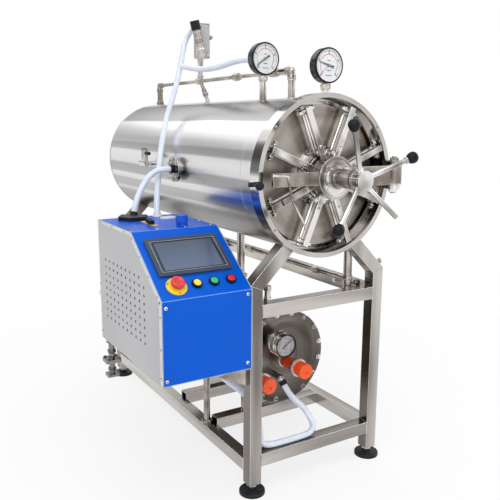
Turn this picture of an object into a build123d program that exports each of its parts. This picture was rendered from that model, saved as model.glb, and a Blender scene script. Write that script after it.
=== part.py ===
from build123d import *
import math
import os

# Horizontal autoclave with a radial-lock door, on a tube stand with a control box and a steam boiler.
# X runs to the right as seen from the door, Y from the door to the rear, Z up from the floor.
# The vessel axis lies in the stand's middle plane and Y = 0 is the stand's front face.

# Vessel
axis_height = 960
jacket_radius = 230
jacket_wall = 3
chamber_radius = 200
chamber_wall = 5
chamber_length = 1070
head_depth = 36
head_wall = 4
vessel_back = 1236
stem_sink = 10

# Door ring
ring_radius = 240
ring_front = -18
ring_back = 28
lip_radius = 226
lip_depth = 12
groove_radius = 233
groove_back = 24
seat_bore = 218
seat_y = 50
neck_back = 60

# Door and its radial locks
plate_radius = 208
plate_front = 30
plate_thickness = 14
seal_width = 7
seal_gap = 0.3
arm_count = 8
bolt_radius = 9
bolt_y = 10
bolt_inner = 40
bolt_reach = 219
bolt_travel = 9
bar_width = 18
bar_thickness = 6
bar_y = -24
bar_inner = 38
bar_reach = 214
tie_at = 203
tie_radius = 4
tie_half_length = 30
clamp_size = 16
running_gap = 0.08
bore_depth = 6
hub_flange_radius = 90
hub_flange_y = 21
hub_back_radius = 80
hub_step_radius = 70
hub_front_radius = 62
hub_neck_radius = 50
hub_front = -58
hub_front_back = -16
hub_step_y = (-12, -7)
hub_back_y = -3
spindle_depth = 30
spindle_radius = 12
housing_radius = 27
housing_front = -150
door_swing = 115

# Hinge
hinge_x = 231
hinge_y = -48
hinge_pin_radius = 8
hinge_arm_height = 58
hinge_arm_thickness = 16
knuckle_radius = 24
lug_thickness = 12
lug_gap = 1
lug_margin = 12
nut_height = 10
nut_radius = 14
pin_end = 14

# Door strap and its bent trip rod, whose points are (x, height above the axis)
strap_reach = 215
strap_width = 38
strap_thickness = 9
strap_set_back = 6
trip_radius = 2.5
trip_points = ((-219, 14), (-167, 9), (-154, -54), (-102, -140))

# Handwheel
boss_radius = 28
boss_front = -183
grip_angles = (113, 22, -130)
bare_angle = -45
grip_length = 150
grip_radius = 7
grip_tilt = 13
grip_y = -164
boss_gap = 0.3
spindle_end = -34
knob_neck = 9
knob_length = 33
knob_radius = 18

# Stand
stand_width = 500
stand_length = 1150
tube = 40
tube_wall = 3
leg_bottom = 32
knee_height = 650
upper_rail_top = 597
lower_rail_top = 128
left_rail_drop = 20
foot_radius = 40
foot_thickness = 12
foot_stem_radius = 10
foot_edge = 4

# Control box
box_width = 280
box_front = -8
box_back = 484
box_bottom = 416
box_front_top = 653
box_top = 808
slope_back = 200
sheet = 2
side_sheet = 2
vent_radius = 3.2
vent_columns = 10
vent_rows = 9
vent_column_pitch = 34.5
vent_row_pitch = 23
vent_first = (420, 505)
vent_margin = 42

# Screen, push-buttons and stop button on the slope; "along" is measured up from its lower edge
panel_x = -392
panel_along = 150
bezel_size = (228, 140)
screen_size = (184, 108)
bezel_thickness = 8
screen_recess = 2
screen_thickness = 1
bezel_corner = 6
button_along = 44
button_places = (("yellow", -408), ("green", -355), ("red", -301))
button_radius = 11
button_height = 5
button_bezel_radius = 15
button_bezel_height = 8
press_travel = 3
stop_x = -469
stop_plate_radius = 30
stop_radius = 20
stop_stem_radius = 8
stop_head_height = 14
stop_travel = 3.5

# Boiler under the vessel
boiler_height = 339
boiler_radius = 146
boiler_length = 430
boiler_wall = 4
boiler_flange_radius = 160
boiler_flange_front = 195
boiler_flange_thickness = 12
boiler_end_thickness = 6
cradle_places = (300, 540)
cradle_plate = 8
cradle_reach = 102

# Dial gauges on top of the vessel: (x, middle of the case along Y, height of its centre)
gauge_radius = 50
gauge_depth = 34
gauge_wall = 5
gauge_dial_depth = 6
gauge_dial_thickness = 1.5
gauge_dial_play = 0.1
gauge_stem_radius = 11
gauge_nut_height = 14
gauge_nut_radius = 15
gauge_neck = 1
gauge_neck_radius = 8
rear_gauge = (-60, 245, 1309)
front_gauge = (0, 5, 1275)
gauge_boss_radius = 13
gauge_boss_length = 16

# Steam pipe over the vessel
pipe_radius = 7
riser_radius = 11
pipe_height = 1272
pipe_front = 175
pipe_back = 1180
drop_radius = 12
union_places = (272, 510, 799)
union_radius = 14
union_length = 26

# Safety valve and pressure switch over the pipe's last union
valve_y = 790
branch_lean = 70
valve_base = 1286
cone_height = 1381
cone_foot = 8
cone_foot_radius = 9
cone_neck = 20
cone_neck_radius = 6
cone_top_radius = 13
joiner_radius = 8
joiner_sink = (16, 12)
switch_size = (50, 46, 130)
switch_corner = 5
switch_x = 26
switch_y = 828
switch_low = 1360
sensor_y = 778
sensor_lean = 14
sensor_sink = 12
sensor_radius = 15
sensor_length = 92
sensor_cap_radius = 18
sensor_cap_height = 34

# Side port and side valve on the vessel's left
port_y = 512
port_z = 958
port_boss_radius = 30
port_flange_radius = 44
port_flange_thickness = 10
port_face = -250
port_gland_radius = 14
port_gland_length = 12
port_bolt_count = 6
port_bolt_inset = 9
port_bolt_radius = 5
port_bolt_height = 5
side_valve_y = 735
side_valve_x = -262
side_valve_z = (966, 1016)
side_valve_radius = 12
side_valve_branch = (22, 40)
side_valve_branch_radius = 11
side_valve_stub_radius = 8
side_valve_stub_end = -180
side_valve_lever_z = 1003
side_valve_lever = 44
side_valve_lever_radius = 5

# Fittings on top of the control box
gland_plate_radius = 50
gland_plate_height = 12
gland_plate_at = (-432, 428)
blue_cap_at = (-352, 235)
blue_cap_radius = 18
blue_cap_height = 34
white_cap_at = (-300, 440)
white_cap_size = (56, 34, 6)
connector_places = ((-424, 300), (-418, 330))
connector_size = (16, 22, 14)

# Pipes and posts under the vessel and the box
low_pipe_x = 188
low_pipe_z = 604
low_pipe_radius = 9
low_pipe_y = (48, 1050)
low_union_places = (259, 700)
clip_places = (150, 900)
clip_width = 14
clip_reach = 12
clip_below = (20, 5)
low_union_radius = 15
drain_at = (155, 62)
drain_radius = 14
drain_z = (586, 830)
riser_y = 480
post_y = 316
post_radius = 11
post_flange_radius = 20
post_flange_height = 8
gusset_size = (115, 60)
gusset_thickness = 6
gusset_tip = 8
post_arm_above = (40, 60)
inlet_at = (-505, 470)
inlet_body = (400, 16)
inlet_stem = (286, 10)
inlet_flange = (330, 52, 12, 8)
inlet_foot = (280, 40, 8, 6)
nipple_at = (-175, 30)
nipple_radius = 9
nipple_height = 48
nipple_nut_radius = 13
nipple_nut_height = 12
nipple_nut_places = (0, 34)

# Latch knob on the ring's left
latch_at = (-243, 5, 946)
latch_pad_radius = 7
latch_pad_length = 12
latch_stem_radius = 4
latch_stem_length = 38
latch_ball_radius = 12.5
latch_ball_at = 44
latch_stem_set = 6

# Boiler front
boiler_gauge_at = (-52, 412)
boiler_gauge_radius = 31
boiler_gauge_y = (110, 165)
boiler_gauge_shank = 9
boiler_gauge_wall = 4
heater_places = ((0, 328), (-139, 307))
heater_radius = 25
heater_front = 65
heater_collar_y = (112, 122)
heater_back_radius = 20
heater_core_radius = 16
heater_collar_radius = 30
drain_gland_length = 16
boiler_valve_radius = 12

# Hoses: routes by hand, from one fitting to the other
hose_radius = 10
sleeve_wall = 3
barb_wall = 2
corner_share = 0.45
main_hose = (
    (-12, 828, 1470), (-52, 812, 1432), (-78, 788, 1362), (-108, 757, 1290), (-150, 716, 1213),
    (-205, 662, 1128), (-246, 617, 1040), (-285, 553, 947), (-316, 500, 890), (-330, 472, 852),
    (-335, 461, 814))
gauge_hose = (
    (-94, 752, 1320), (-91, 688, 1309), (-88, 612, 1300), (-84, 540, 1298), (-79, 472, 1303),
    (-71, 408, 1313), (-62, 348, 1316), (-60, 310, 1309), (-60, 278, 1309))
port_hose = (
    (-262, 512, 958), (-300, 512, 958), (-337, 502, 944), (-368, 490, 914), (-391, 481, 879),
    (-407, 470, 850), (-415, 463, 826))
drain_hose = (
    (-36, 136, 265), (-28, 110, 232), (14, 80, 191), (14, 21, 138.5), (-88, 17, 138.5),
    (-197, 22, 138.5), (-198, 28, 196), (-200, 52, 254), (-222, 80, 300), (-258, 96, 330),
    (-291, 104, 362), (-301, 107, 404))

half_width = stand_width / 2
rear_leg_y = stand_length - tube / 2
nodes = {}
print("bolts reach", bolt_reach + bolt_travel, "in a groove of", groove_radius)
print("door swings", door_swing, "degrees")


def about_axis(profile, height=axis_height):
    """A solid of revolution about a line along Y at the given height, from (radius, y) points."""
    outline = make_face(Polyline(*profile, close=True))
    return Pos(0, 0, height) * revolve(outline, Axis.Y)


def ring_y(outer, inner, y_from, y_to, height=axis_height):
    """A plain ring or disc along Y."""
    if inner == 0:
        return about_axis([(0, y_from), (outer, y_from), (outer, y_to), (0, y_to)], height)
    return about_axis([(inner, y_from), (outer, y_from), (outer, y_to), (inner, y_to)], height)


def block(x_from, x_to, y_from, y_to, z_from, z_to):
    """A box between two corners."""
    size = Box(x_to - x_from, y_to - y_from, z_to - z_from)
    return Pos((x_from + x_to) / 2, (y_from + y_to) / 2, (z_from + z_to) / 2) * size


def tube_section():
    """The square tube's section."""
    return Rectangle(tube, tube) - Rectangle(tube - 2 * tube_wall, tube - 2 * tube_wall)


def rail(start, end):
    """A square tube between two points on its centre line, along X or Y."""
    direction = Vector(*end) - Vector(*start)
    plane = Plane(origin=start, x_dir=(0, 0, 1), z_dir=direction.normalized())
    return extrude(plane * tube_section(), direction.length)


def round_bar(start, end, radius):
    """A round bar between two points."""
    direction = Vector(*end) - Vector(*start)
    plane = Plane(origin=start, z_dir=direction.normalized())
    return extrude(plane * Circle(radius), direction.length)


# Stand: each leg is one tube that bends inwards at the knee and carries the vessel
def leg(side, y):
    x = side * (half_width - tube / 2)
    run = half_width - tube / 2
    route = Polyline((x, y, leg_bottom), (x, y, knee_height), (x - side * run, y, knee_height + run))
    section = Plane(origin=(x, y, leg_bottom), x_dir=(1, 0, 0), z_dir=(0, 0, 1)) * tube_section()
    bent = sweep(section, path=route, transition=Transition.RIGHT)
    seat = ring_radius if y < ring_back else jacket_radius
    bent -= Pos(0, y, axis_height) * Rot(90, 0, 0) * Cylinder(seat, 3 * tube)
    cap = block(x - tube / 2, x + tube / 2, y - tube / 2, y + tube / 2, leg_bottom, leg_bottom + tube_wall)
    keep = [piece for piece in bent.solids() if piece.bounding_box().min.Z < knee_height]
    return keep[0] + cap


rail_end = half_width - tube
upper_z = upper_rail_top - tube / 2
lower_z = lower_rail_top - tube / 2
cross_rails = []
side_rails = []
for end_name, y in (("front", tube / 2), ("rear", rear_leg_y)):
    nodes[f"legs_{end_name}"] = Compound([leg(-1, y), leg(1, y)])
    for z in (upper_z, lower_z):
        cross_rails.append(rail((-rail_end, y, z), (rail_end, y, z)))
for side, drop in ((-1, left_rail_drop), (1, 0)):
    x = side * (half_width - tube / 2)
    for z in (upper_z, lower_z - drop):
        side_rails.append(rail((x, tube, z), (x, stand_length - tube, z)))
nodes["cross_rails"] = Compound(cross_rails)
nodes["side_rails"] = Compound(side_rails)

feet = []
for side in (-1, 1):
    for y in (tube / 2, rear_leg_y):
        place = Pos(side * (half_width - tube / 2), y, 0)
        disc = extrude(Circle(foot_radius), foot_thickness)
        disc = fillet(disc.edges().group_by(Axis.Z)[-1], foot_edge)
        stem = Pos(0, 0, foot_thickness) * extrude(Circle(foot_stem_radius), leg_bottom - foot_thickness)
        feet.append(place * (disc + stem))
nodes["levelling_feet"] = Compound(feet)

# Vessel: the ring carries the chamber and the jacket
nodes["door_ring"] = about_axis([
    (lip_radius, ring_front), (ring_radius, ring_front), (ring_radius, ring_back),
    (jacket_radius - jacket_wall - 3, ring_back), (jacket_radius - jacket_wall - 3, neck_back),
    (chamber_radius, neck_back), (chamber_radius, seat_y), (seat_bore, seat_y),
    (seat_bore, groove_back), (groove_radius, groove_back),
    (groove_radius, ring_front + lip_depth), (lip_radius, ring_front + lip_depth)])
jacket_back = vessel_back - head_depth
nodes["jacket"] = ring_y(jacket_radius, jacket_radius - jacket_wall, ring_back, jacket_back)
chamber_back = neck_back + chamber_length
nodes["chamber"] = ring_y(chamber_radius + chamber_wall, chamber_radius, neck_back, chamber_back)


def dished_head(radius, wall, depth, y_from):
    """A shallow dished end with a rounded knuckle."""
    knuckle = depth * 0.8
    outer = Polyline((0, y_from), (radius, y_from))
    rim = Line((radius, y_from), (radius, y_from + depth - knuckle))
    corner = Bezier((radius, y_from + depth - knuckle), (radius, y_from + depth * 0.9),
                    (radius - 1.6 * knuckle, y_from + depth * 0.93))
    crown = Bezier(corner @ 1, (radius * 0.4, y_from + depth), (0, y_from + depth))
    axis_line = Line((0, y_from + depth), (0, y_from))
    full = revolve(make_face([outer, rim, corner, crown, axis_line]), Axis.Y)
    inner = scale(full, by=((radius - wall) / radius, (depth - wall) / depth, (radius - wall) / radius))
    inner = Pos(0, y_from - inner.bounding_box().min.Y, 0) * inner
    return Pos(0, 0, axis_height) * (full - inner)


nodes["jacket_end"] = dished_head(jacket_radius, head_wall, head_depth, jacket_back)
nodes["chamber_end"] = dished_head(chamber_radius + chamber_wall, head_wall, head_depth, chamber_back)

# Door plate with its seal
plate_back = plate_front + plate_thickness
nodes["door_plate"] = ring_y(plate_radius, 0, plate_front, plate_back)
nodes["door_seal"] = ring_y(plate_radius - 1, plate_radius - 1 - seal_width, plate_back, seat_y - seal_gap)


def around(solid, index):
    """Turns a solid that points along +X to one of the locking arms' places."""
    angle = 360 / arm_count * (index + 0.5)
    return Pos(0, 0, axis_height) * Rot(0, -angle, 0) * solid


# Hub: rear part with a bore for each bolt, front part with a slot for each bar
hub = about_axis([
    (0, hub_front), (hub_front_radius, hub_front), (hub_front_radius, hub_front_back),
    (hub_neck_radius, hub_front_back), (hub_neck_radius, hub_step_y[0]), (hub_step_radius, hub_step_y[0]),
    (hub_step_radius, hub_step_y[1]), (hub_neck_radius, hub_step_y[1]), (hub_neck_radius, hub_back_y),
    (hub_back_radius, hub_back_y), (hub_back_radius, hub_flange_y), (hub_flange_radius, hub_flange_y),
    (hub_flange_radius, plate_front), (0, plate_front)])
for index in range(arm_count):
    bore = Pos(bolt_inner - bore_depth, bolt_y, 0) * Rot(0, 90, 0) * extrude(
        Circle(bolt_radius + running_gap), hub_flange_radius)
    slot = block(bar_inner - bore_depth, hub_flange_radius,
                 bar_y - bar_thickness / 2 - running_gap, bar_y + bar_thickness / 2 + running_gap,
                 -bar_width / 2 - running_gap, bar_width / 2 + running_gap)
    hub -= around(bore + slot, index)
spindle_bore = ring_y(spindle_radius + running_gap, 0, hub_front - 1, hub_front + spindle_depth)
nodes["door_hub"] = hub - spindle_bore
nodes["spindle_housing"] = ring_y(housing_radius, spindle_radius + running_gap, housing_front, hub_front)


def lock_arm():
    """One locking arm along +X: a round bolt and a flat bar, clamped together by a block and a cross bolt."""
    bolt = Pos(bolt_inner, bolt_y, 0) * Rot(0, 90, 0) * extrude(Circle(bolt_radius), bolt_reach - bolt_inner)
    tip = bolt.edges().filter_by(GeomType.CIRCLE).group_by(Axis.X)[-1]
    bolt = chamfer(tip, bolt_radius / 4)
    bar = block(bar_inner, bar_reach, bar_y - bar_thickness / 2, bar_y + bar_thickness / 2,
                -bar_width / 2, bar_width / 2)
    clamp = block(tie_at - clamp_size / 2, tie_at + clamp_size / 2, bar_y, bolt_y,
                  -clamp_size / 2, clamp_size / 2)
    tie_y = (bar_y + bolt_y) / 2
    tie = round_bar((tie_at, tie_y, -tie_half_length), (tie_at, tie_y, tie_half_length), tie_radius)
    for side in (-1, 1):
        nut = extrude(RegularPolygon(2 * tie_radius, 6), 2 * tie_radius * side)
        tie += Pos(tie_at, tie_y, side * (tie_half_length - 3 * tie_radius)) * nut
    return bolt + bar + clamp + tie


for index in range(arm_count):
    nodes[f"lock_arm_{index + 1}"] = around(lock_arm(), index)

# Hinge: the arm is welded to the hub and turns on a pin between two lugs on the ring
arm_back = hinge_y + hinge_arm_thickness / 2
arm_front = hinge_y - hinge_arm_thickness / 2
arm_low = axis_height - hinge_arm_height / 2
arm_high = axis_height + hinge_arm_height / 2
hinge_arm = block(0, hinge_x, arm_front, arm_back, arm_low, arm_high)
knuckle = Pos(hinge_x, hinge_y, arm_low) * extrude(Circle(knuckle_radius), hinge_arm_height)
hinge_arm = hinge_arm + knuckle
hinge_arm -= ring_y(hub_front_radius, 0, hub_front - 20, 0)
hinge_arm -= Pos(hinge_x, hinge_y, arm_low) * extrude(
    Circle(hinge_pin_radius + running_gap), hinge_arm_height)
nodes["hinge_arm"] = hinge_arm

# Strap from the hub towards the left of the door, with the bent trip rod welded on its front
strap_back = arm_back - strap_set_back
strap_front = strap_back - strap_thickness
strap_low = axis_height - strap_width / 2
strap = block(-strap_reach, 0, strap_front, strap_back, strap_low, strap_low + strap_width)
strap -= ring_y(hub_front_radius, 0, hub_front - 20, 0)
trip_y = strap_front - trip_radius + 1
trip_route = [Vector(x, trip_y, axis_height + z) for x, z in trip_points]
for start, end in zip(trip_route, trip_route[1:]):
    strap += round_bar(start, end, trip_radius)
for point in trip_route[1:-1]:
    strap += Pos(point) * Sphere(trip_radius)
nodes["door_strap"] = strap

lugs = []
for side in (-1, 1):
    face = axis_height + side * (hinge_arm_height / 2 + lug_gap)
    reach = ring_back - hinge_y
    lug_width = 2 * (hinge_pin_radius + lug_margin)
    plate = Rectangle(lug_width, reach, align=(Align.CENTER, Align.MIN))
    plate = plate + Circle(lug_width / 2) - Circle(hinge_pin_radius)
    lug = Pos(hinge_x, hinge_y, face) * extrude(plate, lug_thickness * side)
    lug -= ring_y(ring_radius, 0, ring_front, ring_back + 40)
    lugs.append(lug.solids().sort_by(Axis.Y)[0])
nodes["hinge_lugs"] = Compound(lugs)
pin_half = hinge_arm_height / 2 + lug_gap + lug_thickness
pin_low = axis_height - pin_half - pin_end
pin = Pos(hinge_x, hinge_y, pin_low) * extrude(Circle(hinge_pin_radius), 2 * (pin_half + pin_end))
for side in (-1, 1):
    nut = extrude(RegularPolygon(nut_radius, 6), nut_height * side)
    pin += Pos(hinge_x, hinge_y, axis_height + side * pin_half) * nut
nodes["hinge_pin"] = pin

# Handwheel: boss with a spindle and long grips that lean towards the operator
boss = ring_y(boss_radius, 0, boss_front, housing_front - boss_gap)
spindle = ring_y(spindle_radius, 0, housing_front - boss_gap, spindle_end)
wheel = boss + spindle


def grip_rod(angle, length):
    """A grip rod from the boss at the given angle."""
    lean = math.radians(grip_tilt)
    turn = math.radians(angle)
    out = length * math.cos(lean)
    end = (out * math.cos(turn), grip_y - length * math.sin(lean), axis_height + out * math.sin(turn))
    return round_bar((0, grip_y, axis_height), end, grip_radius), end


def ball_grip(neck, radius, length):
    """A pear-shaped grip that stands along +Z on a round neck."""
    side = Bezier((neck, 0), (1.25 * radius, 0.45 * length), (radius, length), (0, length))
    line = [Line((0, 0), (neck, 0)), side, Line((0, length), (0, 0))]
    return revolve(Plane.XZ * make_face(line), Axis.Z)


knobs = []
for angle in grip_angles + (bare_angle,):
    rod, end = grip_rod(angle, grip_length)
    wheel += rod
    if angle != bare_angle:
        direction = (Vector(*end) - Vector(0, grip_y, axis_height)).normalized()
        knobs.append(Plane(origin=end, z_dir=direction) * ball_grip(knob_neck, knob_radius, knob_length))
nodes["handwheel"] = wheel
nodes["handwheel_knobs"] = Compound(knobs)

# Control box on the stand's left side
box_right = -half_width
box_left = box_right - box_width
profile = Plane.YZ * make_face(Polyline(
    (box_front, box_bottom), (box_front, box_front_top), (slope_back, box_top),
    (box_back, box_top), (box_back, box_bottom), close=True))
inside = offset(profile, -sheet, kind=Kind.INTERSECTION)
housing = extrude(profile - inside, box_width - 2 * side_sheet)
nodes["control_housing"] = Pos(box_left + side_sheet, 0, 0) * housing


def vent_holes():
    """The field of small holes in the left side panel, cut short along the sloping edge."""
    rise = (box_top - box_front_top) / (slope_back - box_front)
    places = []
    for column in range(vent_columns):
        for row in range(vent_rows):
            y = vent_first[0] - column * vent_column_pitch
            z = vent_first[1] + row * vent_row_pitch
            edge = box_front_top + rise * (y - box_front)
            if z < edge - vent_margin * math.hypot(1, rise):
                places.append((y, z))
    return Plane.YZ * (Sketch() + [Pos(y, z) * Circle(vent_radius) for y, z in places])


nodes["side_panel_left"] = Pos(box_left, 0, 0) * extrude(profile, side_sheet)
nodes["side_panel_left"] -= Pos(box_left, 0, 0) * extrude(vent_holes(), side_sheet)
nodes["side_panel_right"] = Pos(box_right - side_sheet, 0, 0) * extrude(profile, side_sheet)

slope = Plane(origin=(0, box_front, box_front_top), x_dir=(1, 0, 0),
              z_dir=(0, -(box_top - box_front_top), slope_back - box_front))


def on_slope(x, along):
    """A plane on the sloping panel, at x and a distance up from its lower edge."""
    return slope * Pos(x, along, 0)


screen_at = bezel_thickness - screen_recess
bezel = extrude(RectangleRounded(*bezel_size, bezel_corner), bezel_thickness)
bezel -= Pos(0, 0, screen_at) * extrude(Rectangle(*screen_size), screen_recess)
nodes["screen_bezel"] = on_slope(panel_x, panel_along) * bezel
glass = Pos(0, 0, screen_at) * extrude(Rectangle(*screen_size), screen_thickness)
nodes["screen"] = on_slope(panel_x, panel_along) * glass

bezels = []
for name, x in button_places:
    ring = Circle(button_bezel_radius) - Circle(button_radius + running_gap)
    bezels.append(on_slope(x, button_along) * extrude(ring, button_bezel_height))
    cap = Pos(0, 0, press_travel + 2) * extrude(Circle(button_radius), button_height)
    nodes[f"button_{name}"] = on_slope(x, button_along) * cap
nodes["button_bezels"] = Compound(bezels)
ring = Circle(stop_plate_radius) - Circle(stop_stem_radius + running_gap)
nodes["stop_plate"] = on_slope(stop_x, button_along) * extrude(ring, button_bezel_height)
stop_low = button_bezel_height + stop_travel + 0.5
stem_low = stop_travel + 1.5
stop_head = Pos(0, 0, stop_low) * extrude(Circle(stop_radius), stop_head_height)
stop_head += Pos(0, 0, stem_low) * extrude(Circle(stop_stem_radius), stop_low - stem_low)
nodes["stop_button"] = on_slope(stop_x, button_along) * stop_head

# Boiler
flange_back = boiler_flange_front + boiler_flange_thickness
boiler_back = flange_back + boiler_length
nodes["boiler_shell"] = ring_y(
    boiler_radius, boiler_radius - boiler_wall, flange_back, boiler_back, boiler_height)
nodes["boiler_cover"] = ring_y(boiler_flange_radius, 0, boiler_flange_front, flange_back, boiler_height)
cradles = []
for y in cradle_places:
    bar = rail((-rail_end, y, lower_z), (rail_end, y, lower_z))
    seat = block(-cradle_reach, cradle_reach, y - cradle_plate / 2, y + cradle_plate / 2,
                 lower_rail_top, boiler_height)
    cradles.append(bar + (seat - ring_y(boiler_radius, 0, y - tube, y + tube, boiler_height)))
nodes["boiler_cradles"] = Compound(cradles)
nodes["boiler_end"] = ring_y(
    boiler_radius, 0, boiler_back, boiler_back + boiler_end_thickness, boiler_height)


# Dial gauges: black cases with a sunk white dial
def gauge_case(y, height, depth, radius, wall):
    """A round case along Y with a sunk face, and its dial."""
    front = y - depth / 2
    back = front + depth
    case = about_axis([(0, front + gauge_dial_depth), (radius - wall, front + gauge_dial_depth),
                       (radius - wall, front), (radius, front), (radius, back), (0, back)], height)
    dial_face = front + gauge_dial_depth
    dial = ring_y(radius - wall - gauge_dial_play, 0, dial_face - gauge_dial_thickness, dial_face, height)
    return case, dial


cases = []
dials = []
stems = []
for (x, y, height), seat in ((rear_gauge, jacket_radius), (front_gauge, ring_radius)):
    case, dial = gauge_case(y, height, gauge_depth, gauge_radius, gauge_wall)
    if x != 0:
        back = y + gauge_depth / 2
        case += ring_y(gauge_boss_radius, 0, back, back + gauge_boss_length, height)
    cases.append(Pos(x, 0, 0) * case)
    dials.append(Pos(x, 0, 0) * dial)
    nut_top = height - gauge_radius - gauge_neck
    nut_low = nut_top - gauge_nut_height
    stem = round_bar((x, y, axis_height), (x, y, nut_low), gauge_stem_radius)
    stem -= ring_y(seat, 0, ring_front, vessel_back)
    stem += Pos(x, y, nut_low) * extrude(RegularPolygon(gauge_nut_radius, 6), gauge_nut_height)
    neck = round_bar((x, y, nut_top), (x, y, height), gauge_neck_radius)
    neck -= Pos(x, 0, 0) * ring_y(gauge_radius, 0, y - gauge_depth, y + gauge_depth, height)
    stems.append(stem + neck)
nodes["gauge_cases"] = Compound(cases)
nodes["gauge_stems"] = Compound(stems)

# Steam pipe: front riser, long run with hexagonal unions, rear drop
vessel_top = axis_height + jacket_radius
pipe = round_bar((0, pipe_front, vessel_top - stem_sink), (0, pipe_front, pipe_height), riser_radius)
pipe += Pos(0, pipe_front, pipe_height) * Sphere(riser_radius)
pipe += round_bar((0, pipe_front, pipe_height), (0, union_places[0], pipe_height), riser_radius)
pipe += round_bar((0, union_places[0], pipe_height), (0, pipe_back, pipe_height), pipe_radius)
pipe += Pos(0, pipe_back, pipe_height) * Sphere(drop_radius)
pipe += round_bar((0, pipe_back, vessel_top - stem_sink), (0, pipe_back, pipe_height), drop_radius)
for y in union_places:
    union_plane = Plane(origin=(0, y - union_length / 2, pipe_height), z_dir=(0, 1, 0))
    nut = union_plane * RegularPolygon(union_radius, 6)
    pipe += extrude(nut, union_length)
branch = round_bar((0, valve_y, pipe_height), (0, valve_y - branch_lean, vessel_top - stem_sink), pipe_radius)
pipe += branch
nodes["steam_pipe"] = pipe - ring_y(jacket_radius, 0, ring_front, jacket_back)


def sleeve(route, at_end, radius, length):
    """A round sleeve that carries on from one end of a hose, in line with it."""
    tip, inner = (route[-1], route[-2]) if at_end else (route[0], route[1])
    outwards = (Vector(*tip) - Vector(*inner)).normalized()
    return round_bar(tip, Vector(*tip) + outwards * length, radius)


# Safety valve: a cone that widens upwards, a leaning sensor and a square pressure switch with a hose barb
cone_rise = cone_height - valve_base
cone = Pos(0, valve_y, valve_base) * revolve(
    Plane.XZ * make_face(Polyline(
        (0, -cone_foot), (cone_foot_radius, -cone_foot), (cone_foot_radius, cone_neck),
        (cone_neck_radius, cone_neck), (cone_top_radius, cone_rise), (0, cone_rise), close=True)), Axis.Z)
sensor = Pos(0, sensor_y, cone_height - sensor_sink) * Rot(0, -sensor_lean, 0)
sensor_body = sensor * extrude(Circle(sensor_radius), sensor_length)
switch_plan = RectangleRounded(switch_size[0], switch_size[1], switch_corner)
switch = Pos(switch_x, switch_y, switch_low) * extrude(switch_plan, switch_size[2])
joiner_low = (0, valve_y, cone_height - joiner_sink[0])
joiner = round_bar(joiner_low, (switch_x, switch_y, switch_low + joiner_sink[1]), joiner_radius)
barb = sleeve(main_hose, False, hose_radius - barb_wall, switch_x)
valve = cone + sensor_body + switch + joiner + barb
nodes["safety_valve"] = valve - nodes["steam_pipe"]

# Side port with six bolts, side valve, and the inlet valve that hangs under the box
port = round_bar((port_face, port_y, port_z), (0, port_y, port_z), port_boss_radius)
disc = Plane(origin=(port_face, port_y, port_z), z_dir=(1, 0, 0))
port += extrude(disc * Circle(port_flange_radius), port_flange_thickness)
for place in PolarLocations(port_flange_radius - port_bolt_inset, port_bolt_count):
    port += extrude(disc * place * RegularPolygon(port_bolt_radius, 6), -port_bolt_height)
port -= ring_y(jacket_radius, 0, ring_front, jacket_back)
branch_z, valve_high = side_valve_z
branch_front = side_valve_y - side_valve_branch[0]
branch_back = side_valve_y + side_valve_branch[1]
side_valve = round_bar((side_valve_x, side_valve_y, branch_z), (side_valve_x, side_valve_y, valve_high),
                       side_valve_radius)
side_valve += round_bar((side_valve_x, branch_front, branch_z), (side_valve_x, branch_back, branch_z),
                        side_valve_branch_radius)
side_valve += round_bar((side_valve_x, branch_front, branch_z), (side_valve_stub_end, branch_front, branch_z),
                        side_valve_stub_radius)
lever_root = (side_valve_x, side_valve_y, side_valve_lever_z)
lever_tip = (side_valve_x, side_valve_y - side_valve_lever, side_valve_lever_z)
side_valve += round_bar(lever_root, lever_tip, side_valve_lever_radius)
side_valve -= ring_y(jacket_radius, 0, ring_front, jacket_back)
inlet_x, inlet_y = inlet_at
body_low, body_radius = inlet_body
stem_low_z, stem_radius = inlet_stem
inlet = round_bar((inlet_x, inlet_y, body_low), (inlet_x, inlet_y, box_bottom), body_radius)
inlet += round_bar((inlet_x, inlet_y, stem_low_z), (inlet_x, inlet_y, body_low), stem_radius)
for z, width, height, corner in (inlet_flange, inlet_foot):
    inlet += Pos(inlet_x, inlet_y, z) * extrude(RectangleRounded(width, width, corner), height)
nipple = extrude(Circle(nipple_radius), nipple_height)
for z in nipple_nut_places:
    nipple += Pos(0, 0, z) * extrude(RegularPolygon(nipple_nut_radius, 6), nipple_nut_height)
nipple = Pos(nipple_at[0], nipple_at[1], upper_rail_top) * nipple
nodes["side_fittings"] = Compound([port, side_valve, inlet, nipple])

# Pipes under the vessel, on the right side rail's inner face, with a drain stub and a riser from the boiler
low_start, low_end = low_pipe_y
under = round_bar((low_pipe_x, low_start, low_pipe_z), (low_pipe_x, low_end, low_pipe_z), low_pipe_radius)
for y in low_union_places:
    nut = Plane(origin=(low_pipe_x, y, low_pipe_z), z_dir=(0, 1, 0)) * RegularPolygon(low_union_radius, 6)
    under += extrude(nut, union_length)
for y in clip_places:
    under += block(low_pipe_x - clip_reach, half_width - tube, y, y + clip_width,
                   low_pipe_z - clip_below[0], low_pipe_z - clip_below[1])
drain_x, drain_y = drain_at
under += round_bar((low_pipe_x, drain_y, low_pipe_z), (drain_x, drain_y, low_pipe_z), low_pipe_radius - 1)
under += round_bar((drain_x, drain_y, drain_z[0]), (drain_x, drain_y, drain_z[1]), drain_radius)
under -= ring_y(jacket_radius, 0, 0, jacket_back)
riser = round_bar((0, riser_y, boiler_height), (0, riser_y, axis_height), drain_radius)
riser -= ring_y(boiler_radius, 0, flange_back, boiler_back, boiler_height)
riser -= ring_y(jacket_radius, 0, 0, jacket_back)
nodes["underside_pipes"] = Compound([under, riser])

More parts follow.
